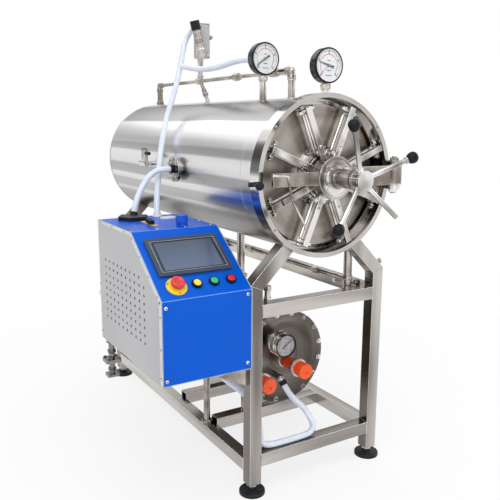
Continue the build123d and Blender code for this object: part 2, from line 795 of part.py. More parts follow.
# Post and gusset that carry the box on the stand's left side
post_x = -half_width + tube / 2
post_low = lower_rail_top - left_rail_drop
post_high = upper_rail_top - tube
post = round_bar((post_x, post_y, post_low), (post_x, post_y, post_high), post_radius)
for z in (post_low, post_high - post_flange_height):
    post += Pos(post_x, post_y, z) * extrude(Circle(post_flange_radius), post_flange_height)
post_arm = block(box_right, post_x, post_y - post_radius, post_y + post_radius,
                 box_bottom + post_arm_above[0], box_bottom + post_arm_above[1])
gusset_plane = Plane(origin=(box_right, tube / 2, box_bottom), x_dir=(-1, 0, 0), z_dir=(0, -1, 0))
gusset = extrude(gusset_plane * make_face(Polyline(
    (0, 0), (gusset_size[0], 0), (gusset_size[0], gusset_tip), (gusset_tip, gusset_size[1]),
    (0, gusset_size[1]), close=True)), gusset_thickness)
gusset += block(box_right - gusset_size[0], box_right, 0, tube, box_bottom - gusset_thickness, box_bottom)
nodes["box_brackets"] = Compound([post + post_arm, gusset])

# Black glands and caps
plate_x, plate_y = gland_plate_at
glands = [Pos(plate_x, plate_y, box_top) * extrude(RegularPolygon(gland_plate_radius, 6), gland_plate_height)]
for x, y in connector_places:
    glands.append(Pos(x, y, box_top) * extrude(RectangleRounded(connector_size[0], connector_size[1], 4),
                                               connector_size[2]))
glands.append(round_bar((port_face - port_gland_length, port_y, port_z), (port_face, port_y, port_z),
                        port_gland_radius))
glands.append(sensor * Pos(0, 0, sensor_length) * extrude(Circle(sensor_cap_radius), sensor_cap_height))
plate_top = box_top + gland_plate_height
glands[0] += sleeve(port_hose, True, hose_radius + sleeve_wall, 2 * gland_plate_height) - block(
    box_left, box_right, box_front, box_back, box_bottom, plate_top)
box_gland = sleeve(drain_hose, True, hose_radius + sleeve_wall, 3 * gland_plate_height)
glands.append(box_gland - block(box_left, box_right, box_front, box_back, box_bottom, box_top))
drain_gland = sleeve(drain_hose, False, hose_radius + sleeve_wall, drain_gland_length)
glands.append(drain_gland)
latch_x, latch_y, latch_z = latch_at
stem_x = latch_x - latch_stem_set
latch_pad_end = latch_x - latch_pad_length
latch_stem_end = latch_y - latch_stem_length
latch = round_bar((-ring_radius, latch_y, latch_z), (latch_pad_end, latch_y, latch_z), latch_pad_radius)
latch += round_bar((stem_x, latch_y, latch_z), (stem_x, latch_stem_end, latch_z), latch_stem_radius)
latch += Pos(stem_x, latch_y - latch_ball_at, latch_z) * Sphere(latch_ball_radius)
latch -= ring_y(ring_radius, 0, ring_front - 60, ring_back)
glands.append(latch)

# Boiler front: gauge, heater covers, valve
gauge_x, gauge_z = boiler_gauge_at
low_case, low_dial = gauge_case(sum(boiler_gauge_y) / 2, gauge_z, boiler_gauge_y[1] - boiler_gauge_y[0],
                                boiler_gauge_radius, boiler_gauge_wall)
low_case += ring_y(boiler_gauge_shank, 0, boiler_gauge_y[1], boiler_flange_front, gauge_z)
nodes["gauge_dials"] = Compound(dials + [Pos(gauge_x, 0, 0) * low_dial])
fittings = [Pos(gauge_x, 0, 0) * low_case]
covers = []
collar_front, collar_back = heater_collar_y
for x, z in heater_places:
    body = ring_y(heater_radius, 0, heater_front, collar_front, z)
    body += ring_y(heater_back_radius, 0, collar_back, boiler_flange_front, z)
    body += ring_y(heater_core_radius, 0, collar_front, collar_back, z)
    covers.append(Pos(x, 0, 0) * body)
    collar = Plane(origin=(x, collar_front, z), z_dir=(0, 1, 0)) * (
        RegularPolygon(heater_collar_radius, 6) - Circle(heater_core_radius))
    fittings.append(extrude(collar, collar_back - collar_front))
nodes["heater_covers"] = Compound(covers)
valve_bar = sleeve(drain_hose, False, boiler_valve_radius - 2, drain_gland_length + boiler_valve_radius)
outwards = (Vector(*drain_hose[0]) - Vector(*drain_hose[1])).normalized()
valve_place = Vector(*drain_hose[0]) + outwards * (drain_gland_length + boiler_valve_radius)
valve_root = (valve_place.X, boiler_flange_front, valve_place.Z)
valve_body = round_bar(valve_root, valve_place, boiler_valve_radius - 2)
valve_body += Pos(valve_place) * Sphere(boiler_valve_radius)
fittings.append(valve_body + valve_bar - drain_gland)
nodes["boiler_fittings"] = Compound(fittings)
nodes["glands_and_caps"] = Compound(glands)

# Caps on the box's top
cap_x, cap_y = blue_cap_at
blue_cap = Pos(cap_x, cap_y, box_top) * extrude(Circle(blue_cap_radius), blue_cap_height)
cap_x, cap_y = white_cap_at
cap_plan = SlotOverall(white_cap_size[0], white_cap_size[1])
white_cap = Pos(cap_x, cap_y, box_top) * extrude(cap_plan, white_cap_size[2])
hose_ring = sleeve(main_hose, True, hose_radius + sleeve_wall, 2 * gland_plate_height)
hose_ring -= block(box_left, box_right, box_front, box_back, box_bottom, box_top)
nodes["box_caps"] = Compound([blue_cap, white_cap, hose_ring])


# Hoses
def hose(name, route):
    """A hose along its route, each corner as large an arc as its two runs allow."""
    points = [Vector(*point) for point in route]
    runs = [end - start for start, end in zip(points, points[1:])]
    radii = []
    for before, after in zip(runs, runs[1:]):
        half_turn = math.radians(before.get_angle(after)) / 2
        radii.append(corner_share * min(before.length, after.length) / math.tan(half_turn))
    path = FilletPolyline(*route, radius=radii)
    section = Plane(origin=route[0], z_dir=runs[0].normalized()) * Circle(hose_radius)
    tube_solid = sweep(section, path=path)
    full = math.pi * hose_radius ** 2 * path.length
    print(name, "length", round(path.length), "radii", [round(radius) for radius in radii],
          "volume share", round(tube_solid.volume / full, 4))
    return tube_solid


nodes["hose_main"] = hose("main hose", main_hose)
nodes["hose_gauge"] = hose("gauge hose", gauge_hose)
nodes["hose_port"] = hose("port hose", port_hose)
nodes["hose_drain"] = hose("drain hose", drain_hose)

# Everything is moved so that the origin is on the floor under the middle of the part
boxes = [solid.bounding_box() for solid in nodes.values()]
middle_x = (min(box.min.X for box in boxes) + max(box.max.X for box in boxes)) / 2
middle_y = (min(box.min.Y for box in boxes) + max(box.max.Y for box in boxes)) / 2
shift = Vector(-middle_x, -middle_y, -min(box.min.Z for box in boxes))
print("shift", round(shift.X, 3), round(shift.Y, 3), round(shift.Z, 3))

os.makedirs("parts", exist_ok=True)
for name, solid in nodes.items():
    export_step(Pos(shift) * solid, f"parts/{name}.step")
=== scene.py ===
import logging
import math
from collections.abc import Iterable
from dataclasses import dataclass
from enum import Enum

import bmesh
import bpy
from mathutils import Matrix, Vector


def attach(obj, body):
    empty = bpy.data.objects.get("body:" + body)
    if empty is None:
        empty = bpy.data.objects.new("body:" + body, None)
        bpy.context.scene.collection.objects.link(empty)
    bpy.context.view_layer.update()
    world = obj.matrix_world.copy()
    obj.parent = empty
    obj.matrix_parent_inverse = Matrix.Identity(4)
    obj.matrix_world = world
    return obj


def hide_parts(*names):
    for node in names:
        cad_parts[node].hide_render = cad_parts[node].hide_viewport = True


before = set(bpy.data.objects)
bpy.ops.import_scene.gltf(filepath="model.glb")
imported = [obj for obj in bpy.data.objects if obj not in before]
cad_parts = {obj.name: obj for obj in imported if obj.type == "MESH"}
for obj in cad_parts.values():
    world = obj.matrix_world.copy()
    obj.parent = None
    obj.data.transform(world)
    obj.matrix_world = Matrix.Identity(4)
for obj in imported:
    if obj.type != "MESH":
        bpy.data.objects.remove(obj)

# Dresses the horizontal autoclave: finishes for every surface, fasteners, dials, weld beads and hoses.
# Sizes are in millimetres in the machine's own axes (X right seen from the door, Y from door to rear,
# Z up, the vessel's axis at X = 0), and each finished piece is moved to the row frame in metres.

LOG = logging.getLogger("autoclave")
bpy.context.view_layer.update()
SHIFT = Vector((130.5, -508.696, 0.0))
ROW_FRAME = Matrix.Scale(0.001, 4) @ Matrix.Translation(SHIFT)
AXIS_HEIGHT = 960.0
AXIS_X = SHIFT.x / 1000
AXIS_Z = AXIS_HEIGHT / 1000
BOILER_HEIGHT = 339.0
JACKET_RADIUS = 230.0
SHARP_EDGE = math.radians(30)
UP, DOWN, FRONT, REAR, LEFT, RIGHT = (0, 0, 1), (0, 0, -1), (0, -1, 0), (0, 1, 0), (-1, 0, 0), (1, 0, 0)

Colour = tuple[float, float, float]
Point = tuple[float, float, float]
Place = Point | Vector
Profile = tuple[tuple[float, float], ...]
Shape = bmesh.types.BMesh
Owner = bpy.types.Material | bpy.types.World


def in_metres(point: Point) -> Vector:
    """A point of the machine, in millimetres, as a point of the row frame in metres."""
    return ROW_FRAME @ Vector(point)


def series(first: float, step: float, count: int) -> list[float]:
    """Evenly spaced numbers."""
    return [first + step * number for number in range(count)]


ARM_ANGLES = series(22.5, 45, 8)


def around(middle: Place, degrees: float, radius: float, first: int = 0, second: int = 2) -> Vector:
    """A point of a circle, upright across the machine unless two other axes are given.

    Args:
        middle: The circle's middle.
        degrees: The point's angle from the first axis towards the second.
        radius: The circle's radius.
        first: The number of the first axis of its plane.
        second: The number of the second.

    Returns:
        The point.
    """
    place = Vector(middle)
    place[first] += radius * math.cos(math.radians(degrees))
    place[second] += radius * math.sin(math.radians(degrees))
    return place


def linked(name: str, data: bpy.types.ID) -> bpy.types.Object:
    """Puts an object into the scene.

    Args:
        name: Its name.
        data: Its mesh, curve, camera or lamp.

    Returns:
        The object.
    """
    made = bpy.data.objects.new(name, data)
    bpy.context.scene.collection.objects.link(made)
    return made


# Shader graphs


class Wire:
    """A shader socket that takes part in sums."""

    def __init__(self, graph: "Graph", socket: bpy.types.NodeSocket) -> None:
        """Wraps one output socket of a graph."""
        self.graph = graph
        self.socket = socket

    def _with(self, operation: str, *terms: "Wire | float") -> "Wire":
        """A Math node of this operation on the terms."""
        return self.graph.node("ShaderNodeMath", {"operation": operation}, dict(enumerate(terms)))

    def __add__(self, other: "Wire | float") -> "Wire":
        """This plus other."""
        return self._with("ADD", self, other)

    def __sub__(self, other: "Wire | float") -> "Wire":
        """This less other."""
        return self._with("SUBTRACT", self, other)

    def __mul__(self, other: "Wire | float") -> "Wire":
        """This times other."""
        return self._with("MULTIPLY", self, other)

    def __rsub__(self, other: float) -> "Wire":
        """Other less this."""
        return self._with("SUBTRACT", other, self)

    def __pow__(self, other: float) -> "Wire":
        """This to the power of other."""
        return self._with("POWER", self, other)

    __radd__ = __add__
    __rmul__ = __mul__

    def size(self) -> "Wire":
        """This without its sign."""
        return self._with("ABSOLUTE", self)

    def limited(self, low: float, high: float) -> "Wire":
        """This, kept between two numbers."""
        return self._with("MINIMUM", self._with("MAXIMUM", self, low), high)

    def stretched(self, low: float, high: float) -> "Wire":
        """This, spread so that low becomes 0 and high becomes 1."""
        return ((self - low) * (1 / (high - low))).limited(0, 1)

    def beside(self, name: str) -> "Wire":
        """Another output of the same node."""
        return Wire(self.graph, self.socket.node.outputs[name])


class Graph:
    """The nodes of a material or of the world."""

    def __init__(self, owner: Owner) -> None:
        """Clears a material's or a world's nodes.

        Args:
            owner: The material or the world.
        """
        self.owner = owner
        owner.use_nodes = True
        self.tree = owner.node_tree
        self.tree.nodes.clear()

    def node(self, kind: str, settings: dict | None = None, sockets: dict | None = None,
             out: str | int = 0) -> Wire | None:
        """Adds one node.

        Args:
            kind: The node's type.
            settings: Its settings, set before its sockets; "stops" fills a colour ramp.
            sockets: Values or wires for its inputs, by name or number.
            out: The output that is handed back.

        Returns:
            That output, or nothing for a node without outputs.
        """
        made = self.tree.nodes.new(kind)
        for name, value in (settings or {}).items():
            if name == "stops":
                self._fill_ramp(made.color_ramp, value)
            else:
                setattr(made, name, value)
        for name, value in (sockets or {}).items():
            if isinstance(value, Wire):
                self.tree.links.new(value.socket, made.inputs[name])
            else:
                made.inputs[name].default_value = value
        return Wire(self, made.outputs[out]) if made.outputs else None

    @staticmethod
    def _fill_ramp(ramp: bpy.types.ColorRamp, stops: Profile) -> None:
        """Gives a ramp its stops.

        Args:
            ramp: The ramp.
            stops: A place and a grey level for each stop.
        """
        while len(ramp.elements) < len(stops):
            ramp.elements.new(0.5)
        for element, (place, level) in zip(ramp.elements, stops):
            element.position = place
            element.color = (level, level, level, 1)

    def split(self, vector: Wire) -> tuple[Wire, ...]:
        """The three parts of a vector."""
        parts = self.node("ShaderNodeSeparateXYZ", {}, {0: vector})
        return tuple(parts.beside(axis) for axis in "XYZ")

    def place(self, stretch: Point = (1, 1, 1), centre: Point = (0, 0, 0)) -> Wire:
        """Object coordinates about a centre, stretched along each axis."""
        shifted = self.node("ShaderNodeVectorMath", {"operation": "SUBTRACT"},
                            {0: self.node("ShaderNodeTexCoord", out="Object"), 1: centre})
        return self.node("ShaderNodeVectorMath", {"operation": "MULTIPLY"}, {0: shifted, 1: stretch})

    def normal(self) -> tuple[Wire, ...]:
        """The three parts of the surface's direction."""
        return self.split(self.node("ShaderNodeTexCoord", out="Normal"))

    def noise(self, where: Wire, detail: float = 2.0) -> Wire:
        """Noise at these coordinates."""
        return self.node("ShaderNodeTexNoise", {}, {"Vector": where, "Scale": 1.0, "Detail": detail}, "Fac")

    def ramp(self, share: Wire, stops: Profile) -> Wire:
        """The grey level of a ramp with these stops."""
        return self.node("ShaderNodeValToRGB", {"stops": stops}, {0: share}, "Color")

    def blend(self, share: Wire | float, low: "Wire | Colour", high: "Wire | Colour") -> Wire:
        """Mixes two colours."""
        ends = [value if isinstance(value, Wire) else (*value, 1) for value in (low, high)]
        return self.node("ShaderNodeMix", {"data_type": "RGBA"}, {0: share, 6: ends[0], 7: ends[1]}, 2)

    def finished(self, shader: Wire, kind: str = "ShaderNodeOutputMaterial") -> Owner:
        """Ends the graph with this shader."""
        self.node(kind, {}, {"Surface": shader})
        return self.owner


class Lay(Enum):
    """How a surface was ground, as the stretch of its grain in cycles per metre."""

    ALONG_X = (14.0, 1400.0, 1400.0)
    ALONG_Y = (1400.0, 14.0, 1400.0)
    ALONG_Z = (1400.0, 1400.0, 14.0)
    EVEN = (420.0, 420.0, 420.0)
    TURNED = (0.0, 0.0, 0.0)

    def drift(self, cycles: float, pull: float = 7.0) -> Point:
        """Cycles per metre of the slow tone change along the grain: random, and on steel partly painted reflection.
        """
        return tuple(cycles / pull if 0 < along < 100 else cycles for along in self.value)


@dataclass(frozen=True)
class Finish:
    """How one surface looks.

    The grain turns the colour towards the shade, and edges turn it towards the rim's colour, partly as wear
    and partly as painted highlight.
    """

    name: str
    slot: str
    colour: Colour
    shade: Colour
    # rim: the colour that edges turn to, partly wear and partly painted highlight
    rim: Colour
    roughness: float = 0.35
    spread: float = 0.1
    metallic: float = 0.0
    coat: float = 0.0
    lay: Lay = Lay.EVEN
    patches: float = 9.0
    bump: float = 0.05
    rounding: float = 0.0012
    edge_wear_and_glint: float = 2.0
    specular: float = 0.5
    contrast: float = 0.3
    centre_height: float = AXIS_Z

    def grain(self, graph: Graph) -> Wire:
        """The fine marks that grinding or moulding left."""
        where = self._rings(graph, 900, 6) if self.lay is Lay.TURNED else graph.place(self.lay.value)
        return graph.noise(where, 3.0)

    def _rings(self, graph: Graph, outwards: float, round_about: float) -> Wire:
        """Coordinates for marks that go round an axis along Y.

        Args:
            graph: The material's nodes.
            outwards: Cycles per metre outwards.
            round_about: Cycles per metre across.

        Returns:
            The coordinates.
        """
        across, _, up = graph.split(graph.place(centre=(AXIS_X, 0, self.centre_height)))
        radius = (across * across + up * up) ** 0.5
        parts = enumerate((radius * outwards, across * round_about, up * round_about))
        return graph.node("ShaderNodeCombineXYZ", {}, dict(parts))

    def tint(self, graph: Graph, grain: Wire) -> Wire:
        """The surface's colour before its edges are brightened as wear and painted highlight.

        Args:
            graph: The material's nodes.
            grain: The fine marks.

        Returns:
            The colour.
        """
        where = (self._rings(graph, self.patches * 6, self.patches) if self.lay is Lay.TURNED
                 else graph.place(self.lay.drift(self.patches)))
        # slow patches of tone: random on paint and plastic, partly painted reflection on the steels
        patch = graph.noise(where, 2.0).stretched(0.5 - self.contrast / 2, 0.5 + self.contrast / 2)
        return graph.blend((grain * 0.25 + patch * 0.8).limited(0, 1), self.colour, self.shade)

    def surface(self, graph: Graph) -> Wire:
        """The shader: the tint with edges brightened as wear and painted highlight, and the grain in its
        roughness and relief.

        Args:
            graph: The material's nodes.

        Returns:
            The shader.
        """
        grain = self.grain(graph)
        rounded = graph.node("ShaderNodeBevel", {"samples": 4}, {"Radius": self.rounding})
        flat = graph.node("ShaderNodeNewGeometry", out="Normal")
        level = graph.node("ShaderNodeVectorMath", {"operation": "DOT_PRODUCT"}, {0: rounded, 1: flat}, "Value")
        # edges brightened towards the rim colour: partly wear, partly painted highlight
        edge = ((1 - level) * self.edge_wear_and_glint).limited(0, 1)
        relief = graph.node("ShaderNodeBump", {}, {"Strength": self.bump, "Distance": 0.0004, "Height": grain,
                                                   "Normal": rounded})
        return graph.node("ShaderNodeBsdfPrincipled", {}, {
            "Base Color": graph.blend(edge, self.tint(graph, grain), self.rim),
            "Roughness": (grain * self.spread + (self.roughness - self.spread / 2)).limited(0.03, 1),
            "Normal": relief, "Metallic": self.metallic, "Coat Weight": self.coat, "Coat Roughness": 0.06,
            "Specular IOR Level": self.specular})

    def material(self) -> bpy.types.Material:
        """The finish as a material, made once.

        Returns:
            The material.
        """
        known = bpy.data.materials.get(self.name)
        if known is not None:
            return known
        graph = Graph(bpy.data.materials.new(self.name))
        return graph.finished(self.surface(graph))

    def dress(self, *nodes: str) -> None:
        """Gives carried-over CAD nodes this finish.

        Args:
            nodes: The nodes' names.
        """
        for name in nodes:
            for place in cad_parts[name].material_slots:
                place.material = self.material()
            LOG.info("dressed %s in %s", name, self.name)


@dataclass(frozen=True)
class SquareTube(Finish):
    """Ground square tube, with painted shade that makes its sides square to X darker than its fronts."""

    painted_side_shade: float = 0.72

    def tint(self, graph: Graph, grain: Wire) -> Wire:
        """The ground tone, turned towards the shade colour on the tube's sides as painted shade."""
        # painted shade on the sides square to X
        side = graph.normal()[0].size().stretched(0.6, 0.9)
        return graph.blend(side * self.painted_side_shade, super().tint(graph, grain), self.shade)


@dataclass(frozen=True)
class FittingSteel(Finish):
    """Bright fittings whose colour turns darker from a height down."""

    darker_below: float = 0.45

    def tint(self, graph: Graph, grain: Wire) -> Wire:
        """The bright tone, turned towards the darker colour low down."""
        low = 1 - graph.split(graph.place())[2].stretched(self.darker_below - 0.02, self.darker_below)
        return graph.blend(low * 0.8, super().tint(graph, grain), self.shade)


@dataclass(frozen=True)
class ShellWithPaintedReflections(Finish):
    """Polished sheet rolled round an axis along Y, with long bands of painted reflection round it.

    The bands are painted reflection tones, as the eye sees them, by the angle from the top as a share of a
    half turn. Faces square to the axis have no bands and one tone of their own.
    """

    reflection_bands: Profile = (
        (0.0, 0.96), (0.085, 0.94), (0.1, 0.5), (0.135, 0.54), (0.16, 0.54), (0.25, 0.64), (0.262, 1.0),
        (0.345, 1.0), (0.357, 0.96), (0.387, 0.95), (0.396, 0.8), (0.428, 0.72), (0.437, 0.93), (0.505, 0.86),
        (0.514, 0.64), (0.56, 0.68), (0.568, 0.9), (0.592, 0.86), (0.6, 0.7), (0.645, 0.68), (0.66, 0.84),
        (0.685, 0.6), (0.73, 0.5), (0.79, 0.36), (0.86, 0.25), (1.0, 0.3))
    reflection_wobble: float = 0.022
    end_tone: float = 0.78

    def tint(self, graph: Graph, grain: Wire) -> Wire:
        """Painted reflection bands by the angle from the top, a little wavy along the shell.

        Args:
            graph: The material's nodes.
            grain: The fine marks.

        Returns:
            The colour.
        """
        across, _, up = graph.split(graph.place(centre=(AXIS_X, 0, AXIS_Z)))
        turn = graph.node("ShaderNodeMath", {"operation": "ARCTAN2"}, {0: across, 1: up}).size() * (1 / math.pi)
        wave = graph.noise(graph.place((2.2, 1.6, 2.2)), 1.0) - 0.5
        # painted reflection: light and dark bands by the angle round the shell
        painted_reflection = graph.ramp(turn + wave * self.reflection_wobble, self.reflection_bands)
        flat = graph.normal()[1].size().stretched(0.6, 0.9)
        patch = graph.noise(graph.place((self.patches,) * 3), 2.0) - 0.5
        tone = painted_reflection * (1 - flat) + flat * (patch * 0.25 + self.end_tone)
        return graph.blend((tone + (grain - 0.5) * 0.05).limited(0, 1) ** 2.2, self.shade, self.colour)


@dataclass(frozen=True)
class ClearFinish(Finish):
    """Thin clear glass or plastic over a dial."""

    alpha: float = 0.12

    def surface(self, graph: Graph) -> Wire:
        """The shader: clear, with a gloss and faint wiping marks.

        Args:
            graph: The material's nodes.

        Returns:
            The shader.
        """
        marks = graph.noise(graph.place((60, 60, 60)), 3.0)
        return graph.node("ShaderNodeBsdfPrincipled", {}, {
            "Base Color": graph.blend(marks, self.colour, self.shade),
            "Roughness": marks * 0.05 + self.roughness, "Alpha": marks * 0.05 + self.alpha,
            "Specular IOR Level": self.specular})


@dataclass(frozen=True)
class GlassWithPaintedShade(Finish):
    """A switched-off display with painted shade from its bezel, darker towards its upper edge."""

    low: float = 0.665
    high: float = 0.795

    def tint(self, graph: Graph, grain: Wire) -> Wire:
        """A soft change from the lower edge to the painted shade at the upper one."""
        # painted shade of the bezel over the glass's upper part
        share = graph.split(graph.place())[2].stretched(self.low, self.high)
        return graph.blend(share + (graph.noise(graph.place((7, 7, 7)), 1.0) - 0.5) * 0.2, self.colour, self.shade)


# the dark end of the polished shells' painted reflection bands
DARK_REFLECTION = (0.015, 0.012, 0.01)
# the bright end of the steels' painted edge highlight
GLINT = (1.0, 1.0, 0.99)
TUBE_LOOK = "satin_steel", (0.66, 0.625, 0.59), (0.14, 0.12, 0.105), (1.0, 0.99, 0.97), 0.24, 0.1, 1.0
# the tubes' bright edge lines: partly wear, partly painted highlight
TUBE_WEAR_AND_GLINT = {"patches": 8.0, "bump": 0.03, "rounding": 0.0022, "edge_wear_and_glint": 7.0, "contrast": 0.26}
BRIGHT_LOOK = "bright_steel", (0.9, 0.885, 0.865), (0.2, 0.18, 0.16), GLINT
# the polished jacket and door ring, whose bands are painted reflection
MIRROR_STEEL = ShellWithPaintedReflections(
    "rolled_mirror_steel", "polished_steel", (0.96, 0.955, 0.95), DARK_REFLECTION, (0.9, 0.9, 0.9), 0.27, 0.06, 1.0,
    lay=Lay.ALONG_X, bump=0.03, edge_wear_and_glint=1.0)
RING_STEEL = ShellWithPaintedReflections(
    "ring_mirror_steel", "polished_steel", (0.92, 0.89, 0.85), DARK_REFLECTION, (0.9, 0.88, 0.85), 0.14, 0.05, 1.0,
    lay=Lay.TURNED, bump=0.02, edge_wear_and_glint=1.5, reflection_bands=(
        (0.0, 0.86), (0.1, 0.9), (0.13, 0.42), (0.19, 0.36), (0.22, 0.8), (0.3, 0.92), (0.35, 0.88),
        (0.37, 0.5), (0.41, 0.36), (0.47, 0.42), (0.49, 0.9), (0.59, 0.86), (0.62, 0.4), (0.71, 0.42),
        (0.74, 0.84), (0.81, 0.88), (0.85, 0.4), (1.0, 0.46)))
END_STEEL = Finish(
    "spun_end_steel", "polished_steel", (0.62, 0.6, 0.58), (0.4, 0.38, 0.36), (0.85, 0.84, 0.82), 0.3, 0.1, 1.0,
    lay=Lay.TURNED, patches=2.0, bump=0.04, contrast=0.8)
FRAME_STEEL = SquareTube("ground_tube_steel", *TUBE_LOOK, lay=Lay.ALONG_Z, **TUBE_WEAR_AND_GLINT)
RAIL_STEEL = Finish("ground_rail_steel", *TUBE_LOOK, lay=Lay.ALONG_X, **TUBE_WEAR_AND_GLINT)
LONG_RAIL_STEEL = Finish("ground_side_rail_steel", *TUBE_LOOK, lay=Lay.ALONG_Y, **TUBE_WEAR_AND_GLINT)
PLATE_STEEL = Finish(
    "turned_door_steel", "door_steel", (0.54, 0.495, 0.45), (0.32, 0.285, 0.25), (0.85, 0.82, 0.78),
    0.34, 0.12, 1.0, lay=Lay.TURNED, patches=6.0, bump=0.05, contrast=0.4)
COVER_STEEL = Finish(
    "turned_cover_steel", "satin_steel", (0.25, 0.225, 0.2), (0.11, 0.095, 0.08), (0.8, 0.78, 0.74),
    0.3, 0.12, 1.0, lay=Lay.TURNED, patches=5.0, bump=0.04, centre_height=BOILER_HEIGHT / 1000, edge_wear_and_glint=3.0)
BRIGHT_STEEL = Finish(
    "bright_turned_steel", *BRIGHT_LOOK, 0.13, 0.06, 1.0, patches=10.0, bump=0.015, edge_wear_and_glint=6.0, contrast=0.22)
FACED_STEEL = Finish(
    "bright_faced_steel", *BRIGHT_LOOK, 0.15, 0.06, 1.0, lay=Lay.TURNED, patches=9.0, bump=0.02, edge_wear_and_glint=6.0,
    contrast=0.18)
VALVE_STEEL = FittingSteel(
    "bright_fitting_steel", "bright_steel", (0.86, 0.84, 0.82), (0.2, 0.18, 0.16), GLINT, 0.15, 0.06, 1.0,
    patches=8.0, bump=0.02, edge_wear_and_glint=5.0, contrast=0.4)
ARM_STEEL = Finish(
    "polished_arm_steel", "bright_steel", (0.9, 0.88, 0.85), (0.15, 0.13, 0.11), GLINT, 0.13, 0.06, 1.0,
    patches=9.0, bump=0.015, rounding=0.0018, edge_wear_and_glint=7.0, contrast=0.2)
PIPE_STEEL = Finish(
    "drawn_pipe_steel", "bright_steel", (0.6, 0.55, 0.5), (0.2, 0.17, 0.145), (0.97, 0.95, 0.92),
    0.2, 0.08, 1.0, patches=12.0, bump=0.02, edge_wear_and_glint=6.0, contrast=0.26)
INNER_STEEL = Finish(
    "ground_inner_steel", "inner_steel", (0.4, 0.38, 0.36), (0.24, 0.225, 0.21), (0.75, 0.74, 0.72),
    0.36, 0.12, 1.0, lay=Lay.ALONG_Y, patches=4.0, bump=0.03)
DARK_STEEL = Finish(
    "blackened_bolt_steel", "bright_steel", (0.2, 0.185, 0.17), (0.1, 0.09, 0.08), (0.6, 0.58, 0.55),
    0.35, 0.1, 1.0, patches=60.0)
# its bright fold lines along the edges are painted highlight
BLUE_PAINT = Finish(
    "blue_powder_coat", "blue_paint", (0.0, 0.108, 0.66), (0.0, 0.095, 0.6), (0.35, 0.62, 1.0),
    0.3, 0.08, 0.0, 0.08, patches=3.0, bump=0.06, rounding=0.0035, edge_wear_and_glint=14.0, specular=0.1)
BLUE_PLASTIC = Finish(
    "blue_cap_plastic", "blue_paint", (0.0, 0.1, 0.72), (0.0, 0.06, 0.55), (0.1, 0.3, 0.95),
    0.2, 0.06, 0.0, 0.2, patches=20.0, specular=0.2)
GREY_PAINT = Finish(
    "light_grey_paint", "grey_paint", (0.5, 0.505, 0.52), (0.44, 0.445, 0.46), (0.8, 0.8, 0.8),
    0.45, 0.1, 0.0, 0.1, patches=3.0, bump=0.12)
STRIP_PAINT = Finish(
    "pale_strip_paint", "grey_paint", (0.74, 0.74, 0.72), (0.62, 0.61, 0.58), (0.95, 0.95, 0.93),
    0.4, 0.1, 0.2, 0.1, patches=8.0)
WHITE_PLASTIC = Finish(
    "white_moulded_plastic", "dial_white", (0.88, 0.88, 0.87), (0.78, 0.78, 0.77), (0.95, 0.95, 0.95),
    0.3, 0.08, 0.0, 0.3, patches=20.0)
DIAL_PAPER = Finish(
    "printed_dial_white", "dial_white", (0.84, 0.86, 0.87), (0.78, 0.8, 0.82), (0.9, 0.9, 0.9), 0.5,
    patches=14.0, bump=0.02)
DIAL_GREY = Finish(
    "printed_dial_grey", "dial_white", (0.46, 0.47, 0.47), (0.38, 0.39, 0.4), (0.6, 0.6, 0.6), 0.5,
    patches=14.0, bump=0.02)
DIAL_BLACK = Finish(
    "printed_dial_black", "black_plastic", (0.02, 0.02, 0.025), (0.04, 0.04, 0.045), (0.08, 0.08, 0.08), 0.45,
    patches=30.0)
DIAL_RED = Finish(
    "printed_dial_red", "red_plastic", (0.72, 0.1, 0.08), (0.6, 0.07, 0.06), (0.8, 0.2, 0.15), 0.45,
    patches=30.0)
ZINC_STEEL = Finish(
    "bright_zinc_plate", "bright_steel", (0.86, 0.86, 0.85), (0.6, 0.59, 0.57), GLINT, 0.26, 0.08, 0.55,
    patches=20.0, bump=0.02, edge_wear_and_glint=4.0)
BLACK_GLOSS = Finish(
    "glossy_black_phenolic", "black_plastic", (0.008, 0.009, 0.012), (0.016, 0.017, 0.022),
    (0.04, 0.04, 0.045), 0.16, 0.06, patches=20.0, specular=0.12)
BLACK_SATIN = Finish(
    "satin_black_moulding", "black_plastic", (0.012, 0.012, 0.015), (0.024, 0.024, 0.028),
    (0.07, 0.07, 0.07), 0.35, 0.12, patches=24.0, bump=0.08, specular=0.12)
FOOT_RUBBER = Finish(
    "black_foot_rubber", "foot_rubber", (0.016, 0.016, 0.017), (0.03, 0.03, 0.03), (0.08, 0.08, 0.08),
    0.4, 0.16, patches=30.0, bump=0.15, specular=0.14)
SEAL_RUBBER = Finish(
    "red_silicone_seal", "seal_rubber", (0.5, 0.12, 0.07), (0.42, 0.09, 0.05), (0.6, 0.2, 0.14), 0.5, 0.12,
    patches=12.0, bump=0.1)
SLATE_PLASTIC = Finish(
    "slate_bezel_plastic", "slate_plastic", (0.055, 0.075, 0.115), (0.04, 0.055, 0.09), (0.24, 0.29, 0.37),
    0.4, 0.1, 0.0, 0.1, patches=9.0, bump=0.1, specular=0.25)
SCREEN_GLASS = GlassWithPaintedShade(
    "unlit_display_glass", "screen_glass", (0.13, 0.19, 0.31), (0.045, 0.068, 0.115), (0.2, 0.26, 0.36),
    0.12, 0.04, 0.0, 0.35)
YELLOW_PLASTIC = Finish(
    "yellow_plastic", "yellow_plastic", (0.88, 0.6, 0.01), (0.8, 0.52, 0.01), (1.0, 0.8, 0.2),
    0.3, 0.08, 0.0, 0.4, patches=30.0)
BUTTON_YELLOW = Finish(
    "yellow_lens", "yellow_plastic", (0.93, 0.74, 0.1), (0.85, 0.66, 0.06), (1.0, 0.9, 0.4),
    0.25, 0.06, 0.0, 0.5, patches=40.0)
GREEN_PLASTIC = Finish(
    "green_lens", "green_plastic", (0.02, 0.5, 0.26), (0.01, 0.42, 0.2), (0.2, 0.75, 0.5),
    0.25, 0.06, 0.0, 0.5, patches=40.0)
